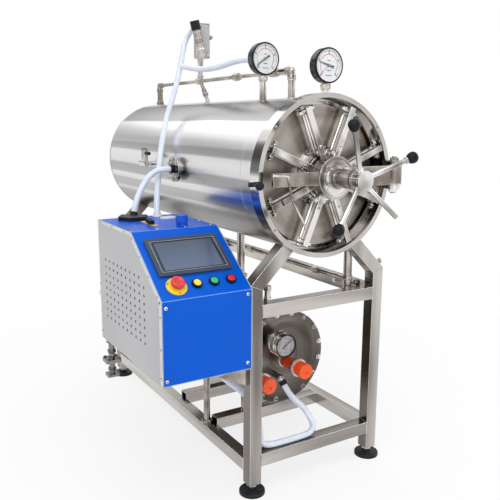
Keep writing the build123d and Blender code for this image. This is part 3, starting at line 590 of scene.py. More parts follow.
RED_PLASTIC = Finish(
    "red_lens", "red_plastic", (0.78, 0.02, 0.02), (0.66, 0.01, 0.015), (0.95, 0.2, 0.15),
    0.22, 0.06, 0.0, 0.6, patches=40.0)
ORANGE_PLASTIC = Finish(
    "orange_red_plastic", "orange_plastic", (1.0, 0.115, 0.015), (0.92, 0.09, 0.012), (1.0, 0.3, 0.12),
    0.28, 0.08, 0.0, 0.3, patches=18.0, specular=0.3)
AMBER_PLATE = Finish(
    "amber_terminal_strip", "yellow_plastic", (0.8, 0.45, 0.03), (0.6, 0.32, 0.02), (0.95, 0.65, 0.2), 0.4,
    patches=60.0)
WHITE_HOSE = Finish(
    "milky_hose", "white_hose", (0.78, 0.83, 0.93), (0.7, 0.76, 0.88), (0.9, 0.93, 0.98),
    0.3, 0.08, 0.0, 0.3, patches=16.0, bump=0.04)
PALE_BRASS = Finish(
    "pale_brass", "bright_steel", (0.7, 0.64, 0.54), (0.46, 0.4, 0.32), (0.92, 0.88, 0.78), 0.25, 0.1, 1.0,
    patches=40.0)
CLEAR_GLASS = ClearFinish(
    "clear_dial_glass", "screen_glass", (0.95, 0.97, 1.0), (0.85, 0.9, 0.95), (1, 1, 1), 0.04,
    specular=0.3, alpha=0.03)


# Mesh shapes: each is a bmesh that stands on the origin along Z


def softened(shape: Shape, width: float) -> Shape:
    """Rounds a shape's sharp edges.

    Args:
        shape: The shape.
        width: How wide the rounding is.

    Returns:
        The same shape.
    """
    sharp = [edge for edge in shape.edges if edge.is_manifold and edge.calc_face_angle(0) > SHARP_EDGE]
    if width > 0 and sharp:
        bmesh.ops.bevel(shape, geom=sharp, offset=width, offset_type="OFFSET", segments=2, profile=0.5,
                        affect="EDGES", clamp_overlap=True, material=-1)
    return shape


def spun(shape: Shape, steps: int) -> Shape:
    """Turns all that is in a shape about Z.

    Args:
        shape: The shape.
        steps: The steps round the turn.

    Returns:
        The same shape.
    """
    bmesh.ops.spin(shape, geom=list(shape.verts) + list(shape.edges), cent=(0, 0, 0), axis=UP,
                   angle=2 * math.pi, steps=steps, use_merge=True)
    bmesh.ops.remove_doubles(shape, verts=shape.verts, dist=0.002)
    return shape


def turned(profile: Profile, steps: int = 40) -> Shape:
    """Turns a profile about Z.

    Args:
        profile: The profile's points, each a radius and a height.
        steps: The steps round the turn.

    Returns:
        The turned shape.
    """
    shape = bmesh.new()
    points = [shape.verts.new((radius, 0, height)) for radius, height in profile]
    for pair in zip(points, points[1:]):
        shape.edges.new(pair)
    spun(shape, steps)
    bmesh.ops.recalc_face_normals(shape, faces=shape.faces)
    return shape


def hoop(radius: float, thickness: float) -> Shape:
    """A round bead bent to a circle about Z.

    Args:
        radius: The circle's radius.
        thickness: The bead's own radius.

    Returns:
        The bead.
    """
    shape = bmesh.new()
    made = bmesh.ops.create_circle(shape, segments=8, radius=thickness)
    upright = Matrix.Translation((radius, 0, 0)) @ Matrix.Rotation(math.pi / 2, 4, "X")
    bmesh.ops.transform(shape, matrix=upright, verts=made["verts"])
    return spun(shape, 64)


def prism(sides: int, radius: float, height: float, width: float) -> Shape:
    """A bar with a regular section: six sides make a nut, two dozen a disc.

    Args:
        sides: The section's sides.
        radius: Its radius at the corners.
        height: The bar's height.
        width: The rounding of its edges.

    Returns:
        The bar.
    """
    shape = bmesh.new()
    bmesh.ops.create_cone(shape, cap_ends=True, segments=sides, radius1=radius, radius2=radius, depth=height)
    bmesh.ops.translate(shape, vec=(0, 0, height / 2), verts=shape.verts)
    return softened(shape, width)


def plank(size: Point, width: float = 0.0) -> Shape:
    """A box of this size, its middle at the origin.

    Args:
        size: Its size along X, Y and Z.
        width: The rounding of its edges.

    Returns:
        The box.
    """
    shape = bmesh.new()
    bmesh.ops.create_cube(shape, size=1)
    bmesh.ops.scale(shape, vec=size, verts=shape.verts)
    return softened(shape, width)


def cut_plate(outline: Profile, thickness: float, width: float = 0.0) -> Shape:
    """A flat plate in the XY plane, raised along Z.

    Args:
        outline: Its outline.
        thickness: Its thickness.
        width: The rounding of its edges.

    Returns:
        The plate.
    """
    shape = bmesh.new()
    face = shape.faces.new([shape.verts.new((across, up, 0)) for across, up in outline])
    raised = bmesh.ops.extrude_face_region(shape, geom=[face])
    lifted = [item for item in raised["geom"] if isinstance(item, bmesh.types.BMVert)]
    bmesh.ops.translate(shape, vec=(0, 0, thickness), verts=lifted)
    bmesh.ops.recalc_face_normals(shape, faces=shape.faces)
    return softened(shape, width)


def standing(base: Place, along: Place = UP, turn: float = 0.0) -> Matrix:
    """The placing that stands a shape on base, its Z along a direction, turned about itself by degrees."""
    upright = Vector(along).to_track_quat("Z", "Y").to_matrix().to_4x4()
    return Matrix.Translation(base) @ upright @ Matrix.Rotation(math.radians(turn), 4, "Z")


def squared(place: Place, *axes: Place) -> Matrix:
    """The placing at a point whose X, Y and Z go along these three directions."""
    return Matrix.Translation(place) @ Matrix([Vector(axis) for axis in axes]).transposed().to_4x4()


def looking(place: Place, gaze: Vector) -> Matrix:
    """The placing of a camera or a lamp that looks along gaze."""
    return Matrix.Translation(place) @ gaze.to_track_quat("-Z", "Y").to_matrix().to_4x4()


class Workpiece:
    """One mesh piece under way, in millimetres and in the machine's own axes.

    What adds to it hands it back, so that calls can follow each other.
    """

    def __init__(self, name: str, *finishes: Finish, body: str = "machine") -> None:
        """Starts an empty piece.

        Args:
            name: The piece's name.
            finishes: Its finishes, by number.
            body: The CAD body that it rides on.
        """
        self.name = name
        self.finishes = finishes
        self.body = body
        self.mesh = bmesh.new()

    def add(self, shape: Shape, placing: Matrix, finish: int = 0) -> "Workpiece":
        """Joins a shape to the piece.

        Args:
            shape: The shape, which is used up.
            placing: Where it goes.
            finish: The number of its finish.

        Returns:
            This piece.
        """
        bmesh.ops.transform(shape, matrix=placing, verts=shape.verts)
        bmesh.ops.recalc_face_normals(shape, faces=shape.faces)
        for face in shape.faces:
            face.smooth = True
            face.material_index = finish
        store = bpy.data.meshes.new("shape")
        shape.to_mesh(store)
        shape.free()
        self.mesh.from_mesh(store)
        bpy.data.meshes.remove(store)
        return self

    def lathe(self, profile: Profile, base: Place, along: Place = UP, steps: int = 40,
              finish: int = 0) -> "Workpiece":
        """Adds a turned profile that stands on base."""
        return self.add(turned(profile, steps), standing(base, along), finish)

    def sleeve(self, base: Place, along: Place, inner: float, outer: float, low: float, high: float,
               steps: int) -> "Workpiece":
        """Adds a washer or a sleeve between two radii and two heights."""
        corners = ((inner, low), (outer, low), (outer, high), (inner, high), (inner, low))
        return self.lathe(corners, base, along, steps)

    def rod(self, start: Place, end: Place, radius: float, width: float = 0.6, sides: int = 24,
            finish: int = 0) -> "Workpiece":
        """Adds a round bar between two points."""
        run = Vector(end) - Vector(start)
        return self.add(prism(sides, radius, run.length, width), standing(start, run), finish)

    def nut(self, base: Place, along: Place, radius: float, height: float, turn: float = 0.0,
            finish: int = 0) -> "Workpiece":
        """Adds a hexagonal nut with a chamfered top.

        Args:
            base: The middle of its foot.
            along: Its direction.
            radius: Its radius at the corners.
            height: Its height.
            turn: Its turn about itself, in degrees.
            finish: The number of its finish.

        Returns:
            This piece.
        """
        self.add(prism(6, radius, height, radius * 0.08), standing(base, along, turn), finish)
        top = Vector(base) + Vector(along).normalized() * height
        rise = height * 0.12
        return self.lathe(((0, 0), (radius * 0.93, 0), (radius * 0.86, rise), (0, rise)), top, along, finish=finish)

    def bolt(self, base: Place, along: Place, radius: float, turn: float = 0.0) -> "Workpiece":
        """Adds a hexagon bolt's head on its washer.

        Args:
            base: The middle of the washer's foot.
            along: The bolt's direction, outwards.
            radius: The head's radius at the corners.
            turn: Its turn about itself, in degrees.

        Returns:
            This piece.
        """
        self.add(prism(20, radius * 1.35, radius * 0.22, 0.15), standing(base, along))
        above = Vector(base) + Vector(along).normalized() * radius * 0.22
        return self.nut(above, along, radius, radius * 0.75, turn)

    def screw(self, base: Place, along: Place, radius: float, turn: float = 0.0, finish: int = 0,
              slot_finish: int = 1) -> "Workpiece":
        """Adds a pan-head screw with a cross recess.

        Args:
            base: The middle of the head's foot.
            along: The screw's direction, outwards.
            radius: The head's radius.
            turn: Its turn about itself, in degrees.
            finish: The number of the head's finish.
            slot_finish: The number of the recess's finish.

        Returns:
            This piece.
        """
        top = radius * 0.62
        self.lathe(((radius, 0), (radius, top * 0.35), (radius * 0.86, top * 0.75), (radius * 0.5, top * 0.97),
                    (0, top)), base, along, 20, finish)
        crown = Vector(base) + Vector(along).normalized() * top
        for quarter in (0, 90):
            bar = plank((radius * 1.05, radius * 0.24, 0.25))
            self.add(bar, standing(crown, along, turn + quarter), slot_finish)
        return self

    def collar(self, middle: Place, along: Place, radius: float, length: float, finish: int = 0) -> "Workpiece":
        """Adds a round collar about a pipe, its middle at a point."""
        base = Vector(middle) - Vector(along).normalized() * length / 2
        return self.add(prism(32, radius, length, 0.8), standing(base, along), finish)

    def bead(self, middle: Place, along: Place, radius: float, thickness: float, finish: int = 0) -> "Workpiece":
        """Adds a weld bead or a ridge round a pipe or a shell."""
        return self.add(hoop(radius, thickness), standing(middle, along), finish)

    def beads(self, start: Place, along: Place, reaches: Iterable[float], radius: float, thickness: float,
              finish: int = 0) -> "Workpiece":
        """Adds a row of beads.

        Args:
            start: The point that the distances are measured from.
            along: Their direction.
            reaches: Their distances from start.
            radius: The circle's radius.
            thickness: The bead's own radius.
            finish: The number of their finish.

        Returns:
            This piece.
        """
        for reach in reaches:
            self.bead(Vector(start) + Vector(along) * reach, along, radius, thickness, finish)
        return self

    def done(self, *replaced: str) -> None:
        """Makes the piece an object of the scene.

        Args:
            replaced: The CAD nodes that it stands for.
        """
        bmesh.ops.transform(self.mesh, matrix=ROW_FRAME, verts=self.mesh.verts)
        data = bpy.data.meshes.new(self.name)
        self.mesh.to_mesh(data)
        self.mesh.free()
        data.set_sharp_from_angle(angle=math.radians(42))
        for finish in self.finishes:
            data.materials.append(finish.material())
        piece = linked(self.name, data)
        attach(piece, self.body)
        if replaced:
            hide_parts(*replaced)
        LOG.info("made %s on %s with %d faces", self.name, self.body, len(data.polygons))


# The machine's sub-assemblies


@dataclass(frozen=True)
class Studio:
    """The photograph's viewing place, the pale floor and the soft lamps."""

    place: Point = (-1.0445, -2.0127, 1.112)
    azimuth: float = 31.47
    elevation: float = 11.16
    roll: float = 0.32
    lens: float = 46.2
    lamps: tuple = (((-2.6, -2.6, 3.2), 44.0, 2.8), ((2.8, -1.6, 2.4), 18.0, 2.4), ((0.4, 2.6, 3.4), 14.0, 2.6),
                    ((-0.7, -2.9, 0.9), 5.0, 2.2), ((-0.6, -1.6, 3.6), 20.0, 2.2))
    lit_point: Point = (0.0, 0.0, 0.7)
    horizon: float = 0.36
    sky: float = 0.6
    ceiling: Profile = ((0.0, 1.0), (0.56, 1.0), (0.6, 0.42), (0.66, 0.4), (0.7, 1.0), (1.0, 1.0))

    def camera(self) -> None:
        """Sets up the camera."""
        data = bpy.data.cameras.new("camera")
        data.lens = self.lens
        data.sensor_width = 36
        data.clip_end = 100
        camera = linked("camera", data)
        turn, tilt, roll = (math.radians(angle) for angle in (self.azimuth, self.elevation, self.roll))
        gaze = Vector((math.sin(turn) * math.cos(tilt), math.cos(turn) * math.cos(tilt), -math.sin(tilt)))
        camera.matrix_world = looking(self.place, gaze) @ Matrix.Rotation(roll, 4, "Z")
        bpy.context.scene.camera = camera

    def floor(self) -> None:
        """A wide pale floor that fades into the background for the camera, also in gloss or through glass."""
        shape = bmesh.new()
        bmesh.ops.create_grid(shape, x_segments=1, y_segments=1, size=30)
        data = bpy.data.meshes.new("floor")
        shape.to_mesh(data)
        shape.free()
        floor = linked("floor", data)
        floor.location.z = -0.0005
        graph = Graph(bpy.data.materials.new("pale_floor"))
        path = graph.node("ShaderNodeLightPath", out="Is Camera Ray")
        seen = (path + path.beside("Is Glossy Ray") + path.beside("Is Transmission Ray")).limited(0, 1)
        distance = graph.node("ShaderNodeVectorMath", {"operation": "LENGTH"}, {0: graph.place()}, "Value")
        fade = (distance.stretched(0.6, 2.2) * 0.22 + 0.78) * seen
        speckle = graph.noise(graph.place((3, 3, 3)), 2.0)
        lit = graph.node("ShaderNodeBsdfPrincipled", {}, {
            "Base Color": graph.blend(speckle, (0.9, 0.9, 0.9), (0.93, 0.93, 0.93)), "Roughness": 0.75})
        bright = graph.node("ShaderNodeEmission", {}, {"Color": (1, 1, 1, 1), "Strength": 1.0})
        mixed = graph.node("ShaderNodeMixShader", {}, {0: fade, 1: lit, 2: bright})
        data.materials.append(graph.finished(mixed))

    def light(self) -> None:
        """Soft lamps and an even sky: the camera sees it white, and gloss sees a darker ceiling over it."""
        for number, (place, power, size) in enumerate(self.lamps):
            data = bpy.data.lights.new(f"lamp_{number}", "AREA")
            data.energy = power
            data.shape = "SQUARE"
            data.size = size
            linked(f"lamp_{number}", data).matrix_world = looking(place, Vector(self.lit_point) - Vector(place))
        bpy.context.scene.world = bpy.data.worlds.new("sky")
        graph = Graph(bpy.context.scene.world)
        path = graph.node("ShaderNodeLightPath", out="Is Camera Ray")
        seen = (path + path.beside("Is Transmission Ray")).limited(0, 1)
        gloss = path.beside("Is Glossy Ray")
        height = graph.split(graph.node("ShaderNodeTexCoord", out="Generated"))[2] * 0.5 + 0.5
        above = graph.ramp(height, self.ceiling)
        even = height.stretched(0.5, 1.0) * self.sky + self.horizon
        strength = seen + (1 - seen) * (gloss * above + (1 - gloss) * even)
        sky = graph.node("ShaderNodeBackground", {}, {"Color": (1, 1, 1, 1), "Strength": strength})
        graph.finished(sky, "ShaderNodeOutputWorld")

    def build(self) -> None:
        """Camera, floor and lights."""
        self.camera()
        self.floor()
        self.light()
        bpy.context.scene.view_settings.view_transform = "Standard"


@dataclass(frozen=True)
class Hose:
    """One white hose along its route, from one fitting to the other."""

    name: str
    length: float
    route: tuple[Point, ...]
    stiffness: str = "medium"
    radius: float = 10.0

    def build(self) -> None:
        data = bpy.data.curves.new(self.name, "CURVE")
        data.dimensions = "3D"
        spline = data.splines.new("NURBS")
        spline.points.add(len(self.route) - 1)
        for point, place in zip(spline.points, self.route):
            point.co = (*in_metres(place), 1)
        spline.order_u = 3
        spline.use_endpoint_u = True
        spline.resolution_u = 12
        data.bevel_depth = self.radius / 1000
        data.bevel_resolution = 6
        data.use_fill_caps = True
        data.materials.append(WHITE_HOSE.material())
        hose = linked(self.name, data)
        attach(hose, "machine")
        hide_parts(self.name.replace("white_", ""))
        LOG.info("made %s", self.name)


HOSES = (
    Hose("white_hose_main", 829, (
        (-12, 828, 1470), (-52, 812, 1432), (-78, 788, 1362), (-108, 757, 1290), (-150, 716, 1213),
        (-205, 662, 1128), (-246, 617, 1040), (-285, 553, 947), (-316, 500, 890), (-330, 472, 852),
        (-335, 461, 814))),
    Hose("white_hose_gauge", 478, (
        (-94, 752, 1320), (-91, 688, 1309), (-88, 612, 1300), (-84, 540, 1298), (-79, 472, 1303),
        (-71, 408, 1313), (-62, 348, 1316), (-60, 310, 1309), (-60, 278, 1309))),
    Hose("white_hose_port", 226, (
        (-262, 512, 958), (-300, 512, 958), (-337, 502, 944), (-368, 490, 914), (-391, 481, 879),
        (-407, 470, 850), (-415, 463, 826))),
    Hose("white_hose_drain", 685, (
        (-36, 136, 265), (-28, 110, 232), (14, 80, 191), (14, 21, 138.5), (-88, 17, 138.5),
        (-197, 22, 138.5), (-198, 28, 196), (-200, 52, 254), (-222, 80, 300), (-258, 96, 330),
        (-291, 104, 362), (-301, 107, 404)), "limp"),
)


@dataclass(frozen=True)
class Vessel:
    """The polished jacket, its seams and the door ring."""

    seam_places: tuple[float, ...] = (98.0, 1199.0)
    root_place: float = 29.0
    stems: tuple[Point, ...] = ((-60, 245, 11), (0, 175, 11), (0, 1180, 12), (0, 732, 7))
    lip_front: float = -17.8
    lip_screw_circle: float = 233.0
    lip_screw_angles: tuple[float, ...] = (38.0, 142.0, 218.0, 322.0)

    def build(self) -> None:
        """Dresses the shells and adds their seams and small screws."""
        MIRROR_STEEL.dress("jacket")
        END_STEEL.dress("jacket_end")
        RING_STEEL.dress("door_ring")
        INNER_STEEL.dress("chamber", "chamber_end")
        seams = Workpiece("jacket_seam_beads", MIRROR_STEEL, PIPE_STEEL)
        seams.beads((0, 0, AXIS_HEIGHT), REAR, self.seam_places, JACKET_RADIUS - 0.2, 1.1)
        for x, y, radius in self.stems:
            rise = math.sqrt(JACKET_RADIUS ** 2 - x ** 2)
            seams.bead((x, y, AXIS_HEIGHT + rise), (x, 0, rise), radius + 1.2, 2.4, 1)
        seams.done()
        root = Workpiece("ring_root_bead", RING_STEEL)
        root.bead((0, self.root_place, AXIS_HEIGHT), REAR, JACKET_RADIUS + 1.0, 2.2).done()
        screws = Workpiece("ring_lip_screws", BRIGHT_STEEL, BLACK_SATIN)
        for angle in self.lip_screw_angles:
            place = around((0, self.lip_front, AXIS_HEIGHT), angle, self.lip_screw_circle)
            screws.screw(place, FRONT, 3.6, angle)
        screws.done()


@dataclass(frozen=True)
class Door:
    """The door plate, its hub with the guides for the locking bolts, and the hinge."""

    hub_front: float = -58.0
    hub_radius: float = 62.0
    housing_radius: float = 27.0
    housing_front: float = -149.7
    hub_screw_circle: float = 46.0
    guide_at: float = 80.0
    bolt_y: float = 10.0
    hinge: Point = (231.0, -48.0, 960.0)
    lug_face: float = 42.0
    trip_y: float = -56.5
    trip_radius: float = 3.5
    trip_rod: Profile = ((-219, 14), (-167, 9), (-154, -54), (-102, -140))

    def _hub_details(self) -> None:
        """Steps, screws and guides on the hub."""
        hub = Workpiece("hub_rings_and_screws", FACED_STEEL, BLACK_SATIN, body="door")
        front, bore, rim = (0, self.hub_front, AXIS_HEIGHT), self.housing_radius, self.hub_radius
        hub.lathe(((bore + 0.2, 0), (bore + 9, 0), (bore + 9, 3), (bore + 4, 7), (bore + 0.2, 9)), front, FRONT, 64)
        hub.lathe(((rim - 9, -0.5), (rim - 2, 0.8), (rim - 1, 0), (rim - 1, -2)), front, FRONT, 96)
        for number in range(4):
            hub.screw(around(front, 45 + 90 * number, self.hub_screw_circle), FRONT, 4.2, 30 * number)
        hub.lathe(((bore, 0), (bore + 2.5, 0.6), (bore + 2.5, 9), (bore, 11)),
                  (0, self.housing_front, AXIS_HEIGHT), REAR, 64)
        hub.done()
        guides = Workpiece("bolt_guides", PIPE_STEEL, body="door")
        for angle in ARM_ANGLES:
            guides.lathe(((9.3, -4), (12.5, -4), (12.5, 4.5), (11.5, 6), (9.3, 6), (9.3, -4)),
                         around((0, self.bolt_y, AXIS_HEIGHT), angle, self.guide_at),
                         around((0, 0, 0), angle, 1), 28)
        guides.done()

    def _hinge_details(self) -> None:
        """Washers and thread ends at the hinge, the knuckle's rings, and the trip rod's sleeve."""
        x, y, z = self.hinge
        hinge = Workpiece("hinge_washers", BRIGHT_STEEL, DARK_STEEL)
        for side in (-1, 1):
            face, out = z + side * self.lug_face, (0, 0, side)
            hinge.sleeve((x, y, face), out, 8.2, 18.5, 0, 2.2, 40)
            hinge.beads((x, y, face), UP, series(side * 10.8, side * 0.9, 4), 7.9, 0.35, 1)
            hinge.lathe(((7.8, 0), (7.4, 1.2), (5.5, 2.0), (0, 2.0)), (x, y, face + side * 11.8), out)
        hinge.done()
        rod = Workpiece("trip_rod_sleeve", ARM_STEEL, body="door")
        ends = [(across, self.trip_y, AXIS_HEIGHT + up) for across, up in self.trip_rod]
        for start, end in zip(ends, ends[1:]):
            rod.rod(start, end, self.trip_radius, 0.5, 16)
        rod.done()
        knuckle = Workpiece("hinge_knuckle_rings", BRIGHT_STEEL, body="door")
        knuckle.beads(self.hinge, UP, (-27, 27), 23.6, 1.2).done()

    def build(self) -> None:
        """Dresses the door and adds its small parts."""
        PLATE_STEEL.dress("door_plate")
        SEAL_RUBBER.dress("door_seal")
        FACED_STEEL.dress("door_hub")
        BRIGHT_STEEL.dress("spindle_housing", "hinge_lugs", "hinge_pin")
        PIPE_STEEL.dress("hinge_arm", "door_strap")
        self._hub_details()
        self._hinge_details()


@dataclass(frozen=True)
class RadialLocks:
    """The eight locking arms' cross bolts."""

    tie_at: float = 203.0
    tie_y: float = -7.0
    nut_at: float = 18.0
    bar_front: float = -27.0
    screw_at: float = 96.0

    def build(self) -> None:
        """Dresses each arm and adds its washers, thread ends and set screw."""
        for number, angle in enumerate(ARM_ANGLES):
            ARM_STEEL.dress(f"lock_arm_{number + 1}")
            arm = Workpiece(f"cross_bolt_fasteners_{number + 1}", BRIGHT_STEEL, DARK_STEEL,
                            body=f"lock_{number + 1}")
            middle = around((0, self.tie_y, AXIS_HEIGHT), angle, self.tie_at)
            for way in (-90, 90):
                along = around((0, 0, 0), angle + way, 1)
                arm.sleeve(middle + along * (self.nut_at - 1.6), along, 4.1, 10.2, 0, 1.6, 28)
                arm.lathe(((8.0, 0), (7.6, 0.9), (4.1, 1.1), (4.1, 0), (8.0, 0)),
                          middle + along * (self.nut_at + 8), along, 24)
                arm.beads(middle, along, series(27, 1.1, 3), 3.95, 0.3, 1)
                arm.bead(middle + along * 9, along, 4.6, 1.4)
            screw = around((0, self.bar_front, AXIS_HEIGHT), angle, self.screw_at)
            arm.screw(screw, FRONT, 4.4, 15.0 * number).done()


@dataclass(frozen=True)
class Handwheel:
    """The boss with its long grips."""

    grip_y: float = -164.0
    boss_radius: float = 28.0
    boss_front: float = -183.0
    groove_places: tuple[float, ...] = (-177.0, -154.0)
    grip_length: float = 150.0
    tilt: float = 13.0
    knobbed: tuple[float, ...] = (113.0, 22.0, -130.0)
    bare: float = -45.0

    def build(self) -> None:
        """Dresses the wheel and adds its face disc, lock nuts and ferrules."""
        BRIGHT_STEEL.dress("handwheel")
        BLACK_GLOSS.dress("handwheel_knobs")
        edge = self.boss_radius
        face = Workpiece("boss_face_disc", PLATE_STEEL, BRIGHT_STEEL, body="wheel")
        face.lathe(((edge - 0.4, -0.4), (edge - 1.2, 0.4), (9, 0.6), (8.4, 0.1), (0, 0.1)),
                   (0, self.boss_front + 0.6, AXIS_HEIGHT), FRONT, 64)
        face.beads((0, 0, AXIS_HEIGHT), REAR, self.groove_places, edge - 0.2, 0.5, 1).done()
        nuts = Workpiece("grip_nuts_and_ferrules", BRIGHT_STEEL, body="wheel")
        root = Vector((0, self.grip_y, AXIS_HEIGHT))
        lean = math.radians(self.tilt)
        for angle in (*self.knobbed, self.bare):
            along = around((0, -math.sin(lean), 0), angle, math.cos(lean))
            nuts.nut(root + along * 28.4, along, 10.8, 6.5, angle)
            end = (((7.0, 0), (6.7, 1.0), (5.4, 1.9), (2.0, 2.2), (0, 2.2)) if angle == self.bare
                   else ((7.0, -7), (9.2, -6.2), (9.2, -0.6), (8.4, 0.2), (0, 0.2)))
            nuts.lathe(end, root + along * self.grip_length, along)
        nuts.done()


@dataclass(frozen=True)
class Stand:
    """The square-tube stand: weld beads at its joints, levelling nuts and ribbed feet."""

    leg_x: float = 230.0
    leg_ys: tuple[float, float] = (20.0, 1130.0)
    half_tube: float = 20.0
    rail_end: float = 210.0
    upper_z: float = 577.0
    lower_z: float = 108.0
    left_drop: float = 20.0
    knee: float = 650.0
    knee_bend: float = 22.5
    knee_bolt: Point = (250.0, 20.0, 676.0)

    def _frame_bead(self, piece: Workpiece, middle: Point, side_axis: int) -> None:
        """Adds weld beads on the four sides of a square tube's end.

        Args:
            piece: The piece that gets them.
            middle: The middle of the tube's end.
            side_axis: The number of the level axis that the end's face lies along.
        """
        half = self.half_tube + 0.2
        corners = []
        for across, up in ((-half, -half), (half, -half), (half, half), (-half, half)):
            corner = Vector(middle)
            corner[side_axis] += across
            corner.z += up
            corners.append(corner)
        for start, end in zip(corners, corners[1:] + corners[:1]):
            piece.rod(start, end, 1.5, 0.5, 8)

    def _beads(self) -> None:
        """Weld beads at the rails' ends and the legs' knees."""
        beads = Workpiece("stand_weld_beads", BRIGHT_STEEL)
        half = self.half_tube + 0.1
        step = self.half_tube * math.tan(math.radians(self.knee_bend))
        for side, drop in ((-1, self.left_drop), (1, 0.0)):
            for leg_y, inwards in zip(self.leg_ys, (1, -1)):
                for z in (self.upper_z, self.lower_z):
                    self._frame_bead(beads, (side * self.rail_end, leg_y, z), 1)
                for z in (self.upper_z, self.lower_z - drop):
                    self._frame_bead(beads, (side * self.leg_x, leg_y + inwards * self.half_tube, z), 0)
                for y in (leg_y - half, leg_y + half):
                    beads.rod((side * (self.leg_x + half), y, self.knee + step),
                              (side * (self.leg_x - half), y, self.knee - step), 1.3, 0.4, 8)
        beads.done()

    def _feet(self) -> None:
        """Levelling nuts, stem threads and ribbed pads."""
        nuts = Workpiece("levelling_nuts", BRIGHT_STEEL, DARK_STEEL)
        pads = Workpiece("foot_pads", FOOT_RUBBER)
        for foot in [(side * self.leg_x, y, 0) for side in (-1, 1) for y in self.leg_ys]:
            nuts.nut(Vector(foot) + Vector((0, 0, 20)), UP, 16.5, 8, 12)
            nuts.beads(foot, UP, series(13.2, 1.5, 5), 9.9, 0.5, 1)
            pads.lathe(((0, 0.3), (36, 0.3), (39.5, 1.5), (39.9, 4), (39.2, 8), (36, 11.4), (31, 12.3), (24, 12.8),
                        (16, 14.5), (11.5, 16), (0, 16)), foot, UP, 56)
            pads.beads(foot, UP, series(3, 2.4, 3), 39.2, 0.6)
        nuts.done()
        pads.done()

    def build(self) -> None:
        """Dresses the stand and adds its details."""
        FRAME_STEEL.dress("legs_front", "legs_rear")
        RAIL_STEEL.dress("cross_rails")
        LONG_RAIL_STEEL.dress("side_rails")
        FOOT_RUBBER.dress("levelling_feet")
        self._beads()
        self._feet()
        Workpiece("knee_bolts", BRIGHT_STEEL).bolt(self.knee_bolt, RIGHT, 7.0).done()


